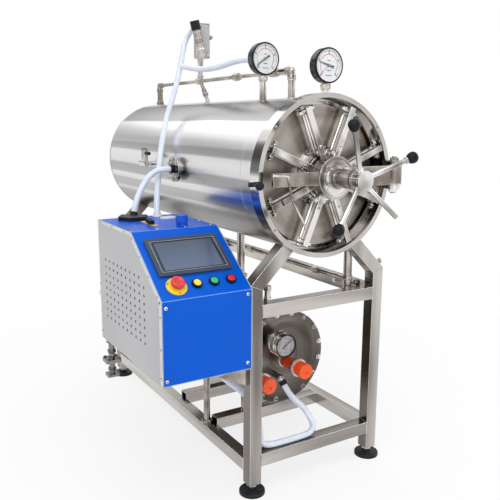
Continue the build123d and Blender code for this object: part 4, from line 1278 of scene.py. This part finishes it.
@dataclass(frozen=True)
class ControlBox:
    """The control box: its screws, rivets, folded strips, screen, buttons and the fittings on its top."""

    left: float = -530.0
    right: float = -250.0
    front: float = -8.0
    back: float = 484.0
    low: float = 416.0
    front_top: float = 653.0
    top: float = 808.0
    slope_back: float = 200.0
    panel_x: float = -392.0
    panel_along: float = 150.0
    panel_lift: float = 8.1
    bezel_line: tuple[float, float] = (202.0, 114.0)
    glass_rim: tuple[float, float] = (185.5, 109.5)
    button_along: float = 44.0
    stop_x: float = -469.0
    buttons: tuple = (("yellow", -408, BUTTON_YELLOW), ("green", -355, GREEN_PLASTIC), ("red", -301, RED_PLASTIC))
    vents: tuple[int, int] = (10, 9)
    vent_pitch: tuple[float, float] = (34.5, 23.0)
    vent_first: tuple[float, float] = (420.0, 505.0)
    vent_margin: float = 42.0
    front_screws: Profile = ((-517, 634), (-517, 430), (-265, 640), (-265, 436))
    top_screws: Profile = ((-520, 216), (-440, 216), (-350, 216), (-264, 216), (-520, 468), (-262, 468),
                           (-262, 300))
    rear_screws: tuple = ((-518, -390, -262), (430, 612, 794))
    filler_cap: tuple[float, float] = (-352.0, 235.0)
    oval_cap: tuple[float, float] = (-322.0, 402.0)
    hose_ring: tuple[float, float] = (-335.6, 460.0)
    terminal: tuple[float, float] = (-422.0, 316.5)
    gland_plate: tuple[float, float] = (-432.0, 428.0)
    knob: Point = (-514.0, 484.0, 561.0)

    def _slope(self, x: float, along: float, lift: float = 0.0) -> Matrix:
        """A placing on the sloping panel, its Y up the slope and its Z outwards.

        Args:
            x: Its place across.
            along: Its distance up the slope.
            lift: Its distance out from the panel.

        Returns:
            The placing.
        """
        up = Vector((0, self.slope_back - self.front, self.top - self.front_top)).normalized()
        out = Vector(RIGHT).cross(up)
        return squared(Vector((x, self.front, self.front_top)) + up * along + out * lift, RIGHT, up, out)

    def _on_top(self, place: tuple[float, float], lift: float = 0.0) -> Point:
        """A point on the box's top."""
        return (*place, self.top + lift)

    def _vents(self) -> None:
        """Painted shade: a black sheet inside the box behind the left panel, and black rims round its holes."""
        low, high = self.low + 6, self.top - 6
        outline = ((self.front + 6, low), (self.back - 6, low), (self.back - 6, high), (self.slope_back + 6, high),
                   (self.front + 6, self.front_top - 6))
        # painted shade: a black sheet inside the box, seen through the vent holes
        shade_sheet = Workpiece("box_inside_painted_shade_sheet", BLACK_SATIN)
        shade_sheet.add(cut_plate(outline, 1.0, 0.2), squared((self.left + 4.0, 0, 0), REAR, UP, RIGHT)).done()
        # painted shade: a black rim round each vent hole
        rims = Workpiece("vent_hole_painted_shade_rims", BLACK_SATIN)
        slant = (self.top - self.front_top) / (self.slope_back - self.front)
        for y in series(self.vent_first[0], -self.vent_pitch[0], self.vents[0]):
            for z in series(self.vent_first[1], self.vent_pitch[1], self.vents[1]):
                if z < self.front_top + slant * (y - self.front) - self.vent_margin * math.hypot(1, slant):
                    rims.lathe(((2.8, 0), (4.4, 0), (4.2, 0.25), (3.0, 0.3), (2.8, 0)), (self.left, y, z), LEFT, 14)
        rims.done()

    def _screws(self) -> None:
        """Screws on the front, the top and the back."""
        front = Workpiece("box_front_screws", BRIGHT_STEEL, BLACK_SATIN)
        for x, z in self.front_screws:
            front.screw((x, self.front, z), FRONT, 5.6, x + z)
        for place in self.top_screws:
            front.screw(self._on_top(place), UP, 3.6, place[0])
        front.done()
        rear = Workpiece("box_rear_screws", BRIGHT_STEEL, BLACK_SATIN)
        for x in self.rear_screws[0]:
            for z in self.rear_screws[1]:
                rear.screw((x, self.back, z), REAR, 4.2, z)
        rear.done()

    def _strips(self) -> None:
        """The pale folded strips round the side panels, with their dark screws."""
        run, rise = self.slope_back - self.front, self.top - self.front_top
        height, edge = self.front_top - self.low, self.front + 7
        lean = Matrix.Rotation(math.atan2(rise, run), 4, "X")
        places = [(edge, z) for z in (440, 520, 610)]
        places += [(edge + share * run, self.front_top - 4 + share * rise) for share in (0.08, 0.36, 0.64, 0.92)]
        places += [(y, self.top - 5) for y in (250, 350, 462)] + [(self.back - 6, z) for z in (600, 440)]
        for name, x, way in (("left", self.left, -1), ("right", self.right, 1)):
            piece = Workpiece(f"side_strips_{name}", STRIP_PAINT, DARK_STEEL)
            face = x + way * 0.3
            piece.add(plank((0.8, 13, height - 2), 0.2), standing((face, edge, self.low + height / 2)))
            piece.add(plank((0.8, math.hypot(run, rise) - 4, 12), 0.2),
                      Matrix.Translation((face, self.front + run / 2 + 4, self.front_top + rise / 2 - 5)) @ lean)
            piece.add(plank((0.8, self.back - self.slope_back - 4, 9), 0.2),
                      standing((face, (self.back + self.slope_back) / 2, self.top - 5)))
            piece.add(plank((0.6, 8, self.top - self.low - 4), 0.2),
                      standing((face - way * 0.1, self.back - 5, (self.top + self.low) / 2)))
            for y, z in places:
                piece.lathe(((3.6, 0), (3.4, 0.5), (2.2, 0.7), (0, 0.7)), (x + way * 0.25, y, z),
                            (way, 0, 0), 16, 1)
            piece.done()

    def _screen(self) -> None:
        """The bezel's light line and the glass's dark rim."""
        trim = Workpiece("bezel_line", STRIP_PAINT, BLACK_SATIN)
        for finish, (width, height), line, rise, corner, soft in (
                (0, self.bezel_line, 0.9, 0.3, 0, 0), (1, self.glass_rim, 2.4, 1.0, 3, 0.3)):
            for way in (-1, 1):
                level = self._slope(self.panel_x, self.panel_along + way * height / 2, self.panel_lift)
                upright = self._slope(self.panel_x + way * width / 2, self.panel_along, self.panel_lift)
                trim.add(plank((width + corner, line, rise), soft), level, finish)
                trim.add(plank((line, height, rise), soft), upright, finish)
        trim.done()

    def _buttons(self) -> None:
        """Domed lenses, bezel lips and the mushroom stop button."""
        bezels = Workpiece("button_bezel_lips", BLACK_GLOSS)
        for name, x, finish in self.buttons:
            place = self._slope(x, self.button_along)
            lens = turned(((0, 5), (10.9, 5), (10.9, 8.4), (10.3, 9.2), (8.8, 9.6), (8.2, 9.3), (5, 9.9),
                           (0, 10)), 44)
            Workpiece(f"{name}_button_lens", finish, body=f"button_{name}").add(lens, place).done(f"button_{name}")
            bezels.add(turned(((11.1, 0.1), (14.9, 0.1), (15.3, 1.0), (15.3, 5.6), (14.6, 7.2), (13, 8.2),
                               (11.4, 8.1), (11.1, 7.4), (11.1, 0.1)), 48), place)
        bezels.done("button_bezels")
        place = self._slope(self.stop_x, self.button_along)
        head = turned(((0, 5), (8, 5), (8, 11.5), (12, 12), (15.2, 12.2), (19.2, 14), (20, 16.5), (19.8, 21),
                       (18.6, 23.6), (16, 25.2), (13.4, 25.2), (12.6, 24.7), (0, 24.9)), 56)
        Workpiece("stop_button_head", RED_PLASTIC, body="stop_button").add(head, place).done("stop_button")
        plate = Workpiece("stop_plate_ring", YELLOW_PLASTIC, BLACK_SATIN)
        plate.add(turned(((8.2, 0.1), (30, 0.1), (30, 2.2), (29.2, 3.2), (22, 4.0), (14, 8), (8.2, 8),
                          (8.2, 0.1)), 64), place)
        arrow = (23.2, -3.4), (25.6, -3.4), (25.6, 1), (27.4, 1), (24.4, 5), (21.4, 1), (23.2, 1)
        for angle in series(-90, 120, 3):
            turn = Matrix.Rotation(math.radians(angle), 4, "Z")
            plate.add(cut_plate(arrow, 0.5), self._slope(self.stop_x, self.button_along, 3.3) @ turn, 1)
        plate.done("stop_plate")

    def _top(self) -> None:
        """The caps, the connector strip and the gland's screws on the box's top, and the knob at its back."""
        cap = Workpiece("blue_filler_cap", BLUE_PLASTIC)
        cap.lathe(((17.6, 0), (17.6, 3), (16.4, 4), (16.4, 8), (17.9, 9), (17.9, 30), (16.6, 33), (13.5, 33.8),
                   (13, 32.6), (0, 32.6)), self._on_top(self.filler_cap), UP, 48)
        for angle in series(0, 15, 24):
            foot = around(self._on_top(self.filler_cap, 10), angle, 17.6, 0, 1)
            cap.rod(foot, foot + Vector((0, 0, 19)), 0.7, 0.2, 6)
        cap.done("box_caps")
        oval = turned(((27.9, 0), (27.9, 2.4), (26.4, 4.6), (20, 5.6), (12, 5.2), (0, 5.6)), 56)
        squeezed = standing(self._on_top(self.oval_cap)) @ Matrix.Diagonal((1.0, 34 / 56, 1.0, 1.0))
        Workpiece("white_oval_cap", WHITE_PLASTIC).add(oval, squeezed).done()
        ring = Workpiece("hose_ring", WHITE_PLASTIC)
        ring.lathe(((10.4, 0), (16, 0), (15.6, 2.4), (13.4, 5), (12.8, 12), (12, 13.5), (10.4, 13.5), (10.4, 0)),
                   self._on_top(self.hose_ring)).done()
        strip = Workpiece("connector_strip", AMBER_PLATE, BRIGHT_STEEL, BLACK_SATIN)
        strip.add(plank((20, 103, 1.6), 0.4), standing(self._on_top(self.terminal, 0.8)))
        for y in (271, 362):
            strip.screw(self._on_top((self.terminal[0], y), 1.6), UP, 3.2, 20, 1, 2)
        strip.done()
        plate = Workpiece("gland_plate_screws", DARK_STEEL, BLACK_SATIN)
        for number in range(6):
            plate.screw(around(self._on_top(self.gland_plate, 12), 60 * number, 42, 0, 1), UP, 3.4, 10 * number)
        plate.done()
        knob = Workpiece("rear_knob", WHITE_PLASTIC)
        knob.lathe(((6, 0), (6, 10), (13, 14), (14.5, 20), (13, 27), (8, 32), (0, 33.5)), self.knob, REAR, 36)
        knob.done()

    def build(self) -> None:
        """Dresses the box and adds its details."""
        BLUE_PAINT.dress("control_housing")
        GREY_PAINT.dress("side_panel_left", "side_panel_right")
        SLATE_PLASTIC.dress("screen_bezel")
        SCREEN_GLASS.dress("screen")
        PIPE_STEEL.dress("box_brackets")
        BLACK_SATIN.dress("glands_and_caps")
        for details in (self._vents, self._screws, self._strips, self._screen, self._buttons, self._top):
            details()


class DialStyle(Enum):
    """Which kind of dial gauge."""

    BLACK_CASE = "black"
    STEEL_CASE = "steel"


@dataclass(frozen=True)
class DialGauge:
    """A dial gauge: case, scale, needle and glass. The centre is the middle of the case."""

    name: str
    centre: Point
    needle: float
    second_needle: float | None = None
    radius: float = 50.0
    depth: float = 34.0
    wall: float = 5.0
    sunk: float = 4.5
    style: DialStyle = DialStyle.BLACK_CASE
    rear_boss: bool = False
    numerals: str = "01234"
    sweep: tuple[float, float] = (225.0, -45.0)

    def _mark(self, lift: float, across: float = 0.0, up: float = 0.0) -> Matrix:
        """A placing on the dial, its X to the right and its Y up as the reader sees it."""
        x, y, z = self.centre
        return squared((x + across, y - self.depth / 2 + self.sunk - lift, z + up), RIGHT, UP, FRONT)

    def _spoke(self, lift: float, degrees: float, reach: float = 0.0) -> Matrix:
        """A placing out from the dial's middle, its X pointing outwards."""
        return self._mark(lift) @ Matrix.Rotation(math.radians(degrees), 4, "Z") @ Matrix.Translation((reach, 0, 0))

    def _at(self, share: float) -> float:
        """The angle at a share of the scale, in degrees."""
        return self.sweep[0] + (self.sweep[1] - self.sweep[0]) * share

    def _scale(self, dial: float) -> None:
        """Ticks, arcs, short lines and numerals.

        Args:
            dial: The dial's radius.
        """
        scale = Workpiece(f"{self.name}_scale", DIAL_BLACK, DIAL_RED)
        for number in range(41):
            length, width = (dial * 0.1, 1.0) if number % 10 else (dial * 0.18, 2.2)
            place = self._spoke(0.1, self._at(number / 40), dial * 0.95 - length / 2)
            scale.add(plank((length, width, 0.2)), place)
        for number in range(30):
            angle = self._at((number + 0.5) / 30)
            scale.add(plank((1.6, dial * 0.112, 0.2)), self._spoke(0.1, angle, dial * 0.68), 1)
            if number % 3 == 0:
                scale.add(plank((dial * 0.1, 0.8, 0.2)), self._spoke(0.1, angle, dial * 0.65), 1)
        for up, width in ((0.3, 0.24), (-0.32, 0.32), (-0.62, 0.5)):
            scale.add(plank((dial * width, dial * 0.045, 0.2)), self._mark(0.1, up=dial * up))
        scale.done()
        for number, figure in enumerate(self.numerals):
            turn = math.radians(self._at(number / (len(self.numerals) - 1)))
            reach = dial * 0.776
            place = self._mark(0.15, reach * math.cos(turn), reach * math.sin(turn))
            Workpiece(f"{self.name}_figure_{number}", DIAL_BLACK).add(self._numeral(figure), place).done()

    def _numeral(self, figure: str) -> Shape:
        """One printed figure.

        Args:
            figure: Its text.

        Returns:
            Its shape, its middle at the origin.
        """
        text = bpy.data.curves.new("figure", "FONT")
        text.body = figure
        text.size = self.radius * 0.22
        text.align_x = text.align_y = "CENTER"
        text.extrude = 0.08
        holder = linked("figure", text)
        data = bpy.data.meshes.new_from_object(holder.evaluated_get(bpy.context.evaluated_depsgraph_get()))
        bpy.data.objects.remove(holder)
        shape = bmesh.new()
        shape.from_mesh(data)
        bpy.data.meshes.remove(data)
        return shape

    def _needles(self, dial: float) -> None:
        """The needle with its tail and hub, and the thin red one where there is one.

        Args:
            dial: The dial's radius.
        """
        hand = Workpiece(f"{self.name}_needle", DIAL_BLACK, DIAL_RED, BRIGHT_STEEL)
        side = ((-dial * 0.4, dial * 0.085), (-dial * 0.2, dial * 0.06), (0, dial * 0.06), (dial * 0.82, 0.9))
        outline = tuple((reach, -half) for reach, half in side) + side[::-1]
        hand.add(cut_plate(outline, 0.5), self._spoke(1.4, self.needle))
        if self.second_needle is not None:
            hand.add(plank((dial * 0.7, 1.1, 0.3)), self._spoke(1.0, self.second_needle, dial * 0.35), 1)
        hub, pin = dial * 0.1, dial * 0.04
        hand.add(turned(((0, 0), (hub, 0), (hub, 1.6), (dial * 0.06, 2.4), (0, 2.4)), 24), self._mark(0.2))
        hand.add(turned(((pin, 2.4), (pin, 2.9), (0, 3.0)), 16), self._mark(0.2), 2).done()

    def case(self, piece: Workpiece) -> None:
        """Adds the case's turned shell to a piece.

        Args:
            piece: The piece.
        """
        x, y, z = self.centre
        radius, depth, bore = self.radius, self.depth, self.radius - self.wall
        piece.lathe(((0, depth), (radius * 0.8, depth), (radius * 0.955, depth - 2), (radius - 0.8, depth - 6),
                     (radius - 0.8, 9), (radius - 0.2, 8), (radius - 0.1, 3), (radius - 1, 1), (radius - 2.4, 0.1),
                     (bore + 0.8, 0.2), (bore + 0.1, 1.2), (bore + 0.1, 6)), (x, y - depth / 2, z), REAR, 72)
        if self.rear_boss:
            piece.lathe(((12.9, 0), (12.9, 12), (12, 15.6), (0, 15.6)), (x, y + depth / 2 - 0.5, z), REAR, 36)

    def build(self) -> None:
        """Scale, needles, inner ring and glass."""
        dial, edge = self.radius - self.wall, self.radius - 1.0
        self._scale(dial)
        self._needles(dial)
        if self.style is DialStyle.STEEL_CASE:
            finish = BLACK_GLOSS
            profile = ((dial - 1.6, 0.2), (dial - 1.2, 4.5), (edge, 4.7), (edge, 3.5), (dial + 0.6, 3.5))
        else:
            finish = WHITE_PLASTIC
            profile = ((dial, 0), (dial - 1.2, 0.1), (dial - 0.8, 2.6), (dial, 2.8))
        Workpiece(f"{self.name}_inner_ring", finish).add(turned(profile, 72), self._mark(0.0)).done()
        glass = turned(((0, 0.5), (dial * 0.6, 0.4), (dial - 0.3, 0), (dial - 0.3, -0.8), (0, -0.6)), 56)
        Workpiece(f"{self.name}_glass", CLEAR_GLASS).add(glass, self._mark(3.9)).done()


@dataclass(frozen=True)
class TopFittings:
    """Dial gauges, steam pipe, safety valve, sensor and switch over the vessel."""

    gauges: tuple[DialGauge, ...] = (
        DialGauge("rear_gauge", (-60, 245, 1309), 213.0, rear_boss=True),
        DialGauge("front_gauge", (0, 5, 1275), 165.0, 222.0))
    pipe_z: float = 1272.0
    riser_y: float = 175.0
    drop_y: float = 1180.0
    drop_nut_z: float = 1192.0
    unions: tuple[float, ...] = (272.0, 510.0, 799.0)
    slant_foot: Point = (0.0, 732.0, 1198.0)
    slant: Point = (0.0, 58.0, 74.0)
    valve: Point = (0.0, 790.0, 1286.0)
    switch: Point = (26.0, 828.0, 1425.0)
    sensor: Point = (0.0, 778.0, 1369.0)
    sensor_lean: float = 14.0

    def _gauges(self) -> None:
        """The two gauges over the vessel."""
        cases = Workpiece("gauge_case_shells", BLACK_GLOSS)
        nuts = Workpiece("gauge_nuts", PALE_BRASS)
        for gauge in self.gauges:
            gauge.case(cases)
            for angle in (62, 118, 242, 298):
                rivet = around(gauge.centre, angle, 48.5)
                cases.rod(rivet - Vector((0, 10, 0)), rivet - Vector((0, 4, 0)), 2.2, 0.5, 12)
            x, y, z = gauge.centre
            nuts.nut((x, y, z - 64.5), UP, 15.6, 12.6)
            nuts.collar((x, y, z - 67), UP, 12.6, 5)
            gauge.build()
        cases.done("gauge_cases")
        nuts.done()
        DIAL_PAPER.dress("gauge_dials")
        BRIGHT_STEEL.dress("gauge_stems")

    def _pipe(self) -> None:
        """Elbow sleeves, union collars and nuts on the steam pipe."""
        PIPE_STEEL.dress("steam_pipe")
        fittings = Workpiece("pipe_elbows_and_collars", PIPE_STEEL)
        riser, drop, z = self.riser_y, self.drop_y, self.pipe_z
        for y, up, along, radius in ((riser, z - 20, UP, 13.6), (riser + 20, z, REAR, 13.6),
                                     (drop, z - 21, UP, 14.2), (drop - 21, z, REAR, 10.5)):
            fittings.collar((0, y, up), along, radius, 15)
        fittings.bead((0, riser, z - 28), UP, 12.4, 1.2)
        fittings.bead((0, riser + 28, z), REAR, 12.4, 1.2)
        for y in self.unions:
            for way in (-1, 1):
                fittings.collar((0, y + way * 17, z), REAR, 11.2 if y > 300 else 13.0, 8)
            fittings.beads((0, y, z), REAR, (-13, 13), 12.2, 0.9)
        fittings.nut((0, drop, self.drop_nut_z), UP, 16.5, 11, 15)
        foot, lean = Vector(self.slant_foot), Vector(self.slant).normalized()
        fittings.nut(foot + lean * 24, lean, 11.5, 10)
        fittings.collar(foot + lean * 46, lean, 9.4, 9).done()

    def _valve(self) -> None:
        """Valve base nuts, sensor ribs and cap, and the switch's cover and gland."""
        PIPE_STEEL.dress("safety_valve")
        x, y, z = self.valve
        group = Workpiece("valve_and_sensor_fittings", PIPE_STEEL, BLACK_SATIN, GREY_PAINT, BRIGHT_STEEL)
        group.lathe(((6.3, 0), (7.4, 1), (14.6, 60), (17.4, 62), (17.4, 68), (15.8, 69.5), (0, 69.5)),
                    (x, y, z + 22), finish=3)
        group.nut((x, y, z - 2), UP, 12.5, 9, 10)
        group.collar((x, y, z + 16), UP, 10.2, 5)
        group.bead((x, y, z + 94), UP, 13.0, 1.2)
        group.bead((x, y, z + 78), UP, 11.5, 0.8)
        along = around((0, 0, 0), 90 + self.sensor_lean, 1)
        group.beads(self.sensor, along, (3, 10, 30, 38, 62, 84), 15.1, 0.9, 3)
        group.collar(Vector(self.sensor) + along * 22, along, 16.2, 8, 3)
        group.beads(self.sensor, along, (95, 99, 103, 121), 18.0, 0.7, 1)
        x, y, z = self.switch
        for size, cover in (((2.2, 38, 116), (x + 24.4, y, z)), ((2.2, 38, 116), (x - 24.4, y, z)),
                            ((42, 2.2, 118), (x, y - 22.6, z))):
            group.add(plank(size, 1.0), standing(cover), 2)
        group.lathe(((21, 0), (21, 4), (19.4, 6.5), (9, 7.6), (8, 6.8), (0, 6.8)), (x - 1, y - 23.4, z - 22), FRONT,
                    48, 2)
        gland_y, gland_z = y - 4, z + 16
        group.rod((x + 25, gland_y, gland_z), (x + 33, gland_y, gland_z), 7.0)
        group.nut((x + 32, gland_y, gland_z), RIGHT, 8.6, 7)
        group.rod((x + 38, gland_y, gland_z), (x + 45, gland_y, gland_z + 2), 4.0)
        for up in (-52, 52):
            for across in (-15, 15):
                group.screw((x + across, y - 23.6, z + up), FRONT, 2.8, up, 3, 1)
        group.done()

    def build(self) -> None:
        """All fittings over the vessel."""
        self._gauges()
        self._pipe()
        self._valve()


@dataclass(frozen=True)
class SideFittings:
    """Bolted port, side valve and inlet valve."""

    port: Point = (-250.0, 512.0, 958.0)
    bolt_circle: float = 35.0
    valve: Point = (-262.0, 735.0, 966.0)
    inlet: Point = (-505.0, 470.0, 298.0)

    def _port(self) -> None:
        """Rims, bolt ends and the gland's ribs at the bolted port."""
        x, y, z = self.port
        rims = Workpiece("port_flange_rims", BRIGHT_STEEL, DARK_STEEL)
        rims.bead((x + 0.6, y, z), RIGHT, 43.6, 0.7)
        rims.bead((x - 0.1, y, z), RIGHT, 22, 0.8, 1)
        for angle in series(0, 60, 6):
            place = around((x - 4.9, y, z), angle, self.bolt_circle, 1, 2)
            rims.lathe(((3.6, 0), (3.2, 0.8), (0, 0.9)), place, LEFT, 16, 1)
        rims.done()
        Workpiece("port_gland_ribs", BLACK_SATIN).beads(self.port, RIGHT, (-2, -5, -8), 14.0, 0.8).done()

    def build(self) -> None:
        """Dresses the fittings and adds bolts, levers and nuts."""
        VALVE_STEEL.dress("side_fittings")
        self._port()
        x, y, z = self.valve
        valve = Workpiece("side_valve_details", BRIGHT_STEEL, BLACK_SATIN)
        valve.rod((x, y - 12, z + 37), (x, y - 45, z + 37), 6.4, 1.6, finish=1)
        valve.nut((x, y, z + 48), UP, 10, 5, 20, 1)
        valve.nut((x, y + 30, z), REAR, 13.4, 10.5, 10)
        valve.beads(self.valve, UP, (12, 28), 12.2, 1.2)
        valve.nut((x + 4, y - 22, z), RIGHT, 11.8, 8).done()
        x, y, z = self.inlet
        inlet = Workpiece("inlet_valve_bolts", DARK_STEEL)
        for across in (-18, 18):
            for deep in (-18, 18):
                inlet.bolt((x + across, y + deep, z + 44), UP, 4.2, 10)
        inlet.nut((x, y, z + 62), UP, 14.5, 11)
        inlet.bead((x, y, z + 100), UP, 15.6, 1.4)
        inlet.nut(self.inlet, UP, 14.0, 10).done()


@dataclass(frozen=True)
class Underside:
    """Pipes under the vessel and the box's post."""

    pipe_x: float = 188.0
    pipe_z: float = 604.0
    unions: tuple[float, ...] = (259.0, 700.0)
    clips: tuple[float, ...] = (150.0, 900.0)
    pipe_ends: tuple[float, ...] = (53.0, 1044.0)
    drain: Point = (155.0, 62.0, 589.0)
    riser: Point = (0.0, 480.0, 485.0)
    post: tuple[float, float] = (-230.0, 316.0)
    post_ends: tuple = ((116.0, UP), (549.0, DOWN))

    def build(self) -> None:
        """Dresses the pipes and adds collars, saddles and flange bolts."""
        PIPE_STEEL.dress("underside_pipes")
        pipes = Workpiece("low_pipe_fittings", PIPE_STEEL)
        x, z = self.pipe_x, self.pipe_z
        for y in self.unions:
            for way, place in ((-1, y - 3), (1, y + 29)):
                pipes.collar((x, place, z), REAR, 12.2, 6)
                pipes.bead((x, place - way * 2, z), REAR, 12.4, 0.9)
        for y in self.clips:
            pipes.sleeve((x, y + 7, z), REAR, 9.1, 11, -6.5, 6.5, 32)
            pipes.bolt((x + 15, y + 7, z - 5), UP, 3.6)
        for y in self.pipe_ends:
            pipes.collar((x, y, z), REAR, 11.4, 10)
        x, y, z = self.drain
        pipes.nut((x, y, z + 27), UP, 18.5, 13, 12)
        pipes.beads(self.drain, UP, series(0, 2.2, 4), 13.9, 0.6)
        x, y, z = self.riser
        for lift in (75, 81):
            pipes.collar((x, y, z + lift), UP, 24, 5)
        pipes.bead((x, y, z + 78), UP, 23.4, 1.6)
        pipes.bead(self.riser, UP, 15.0, 2.2).done()
        post = Workpiece("post_flange_bolts", BRIGHT_STEEL)
        for angle in series(30, 120, 3):
            for height, along in self.post_ends:
                post.bolt(around((*self.post, height), angle, 15.5, 0, 1), along, 3.2)
        post.done()


@dataclass(frozen=True)
class Boiler:
    """The boiler under the vessel: cover bolts, bands, gauge and heater covers."""

    cover_front: float = 195.0
    bolt_circle: float = 150.0
    bolt_count: int = 16
    shell_radius: float = 146.0
    reflection_bands: tuple[float, ...] = (214.0, 420.0, 630.0)
    heaters: tuple[tuple[float, float], ...] = ((0.0, 328.0), (-139.0, 307.0))
    heater_front: float = 67.0
    wide_ridges: tuple[float, ...] = (74.0, 104.0)
    slim_ridges: tuple[float, ...] = (128.0, 160.0)
    lock_ring_y: float = 109.0
    gauge: DialGauge = DialGauge("boiler_gauge", (-52, 132, 412), 35.0, 60.0, 40, 55, 4.0,
                                 style=DialStyle.STEEL_CASE, numerals="0246")

    def _cover(self) -> None:
        """Bolts round the cover and the seam bands on the shell."""
        bolts = Workpiece("boiler_cover_bolts", BRIGHT_STEEL)
        for number in range(self.bolt_count):
            place = around((0, self.cover_front, BOILER_HEIGHT), 360 * (number + 0.5) / self.bolt_count,
                           self.bolt_circle)
            bolts.bolt(place, FRONT, 6.4, 11 * number)
        bolts.done()
        reflection_bands = Workpiece("boiler_seam_beads", COVER_STEEL)
        reflection_bands.beads((0, 0, BOILER_HEIGHT), REAR, self.reflection_bands, self.shell_radius, 1.3).done()

    def _heaters(self) -> None:
        """Rims, noses and lock rings of the orange heater covers."""
        ORANGE_PLASTIC.dress("heater_covers")
        trim = Workpiece("heater_cover_rims", ORANGE_PLASTIC)
        nuts = Workpiece("heater_lock_rings", ZINC_STEEL)
        for x, z in self.heaters:
            trim.lathe(((25, 0), (25.2, 1.2), (24.2, 2.6), (21, 2.8), (20.4, 2.0), (6, 2.0), (5.2, 3.2), (2, 4.4),
                        (0, 4.4)), (x, self.heater_front, z), FRONT, 48)
            trim.add(plank((3, 9, 5), 0.8), standing((x + 4, self.heater_front - 5, z - 6)))
            trim.beads((x, 0, z), REAR, self.wide_ridges, 25.0, 0.9)
            trim.beads((x, 0, z), REAR, self.slim_ridges, 20.0, 0.9)
            nuts.lathe(((20.2, -6), (29.6, -6), (29.6, 4), (28.5, 5), (25.5, 5.6), (20.2, 5.6), (20.2, -6)),
                       (x, self.lock_ring_y, z), REAR, 48)
            nuts.lathe(((20.2, 0), (26, 0), (24, 8), (20.2, 9), (20.2, 0)),
                       (x, self.cover_front - 0.4, z), FRONT, 48)
        trim.done()
        nuts.done()

    def _gauge(self) -> None:
        """The gauge in its steel case, with a grey dial."""
        self.gauge.build()
        x, y, z = self.gauge.centre
        rings = Workpiece("boiler_gauge_case", BRIGHT_STEEL, DIAL_GREY)
        self.gauge.case(rings)
        rings.lathe(((0, -0.6), (35.8, -0.6), (35.8, 0), (0, 0)), (x, y - 23, z), FRONT, 64, 1)
        rings.bead((x, y - 10, z), REAR, 39.4, 0.9)
        rings.bead((x, y + 14, z), REAR, 39.4, 0.7)
        rings.nut((x, y + 48, z), REAR, 15, 12).done()

    def build(self) -> None:
        """Dresses the boiler and adds its details."""
        COVER_STEEL.dress("boiler_cover", "boiler_shell", "boiler_end")
        RAIL_STEEL.dress("boiler_cradles")
        BRIGHT_STEEL.dress("boiler_fittings")
        self._cover()
        self._heaters()
        self._gauge()


def main() -> None:
    """Builds the scene, one sub-assembly after the other."""
    logging.basicConfig(level=logging.INFO, format="%(name)s: %(message)s")
    Studio().build()
    for hose in HOSES:
        hose.build()
    for assembly in (Vessel(), Door(), RadialLocks(), Handwheel(), Stand(), ControlBox(), TopFittings(),
                     SideFittings(), Underside(), Boiler()):
        assembly.build()
        LOG.info("finished the %s", type(assembly).__name__)


if __name__ == "__main__":
    main()
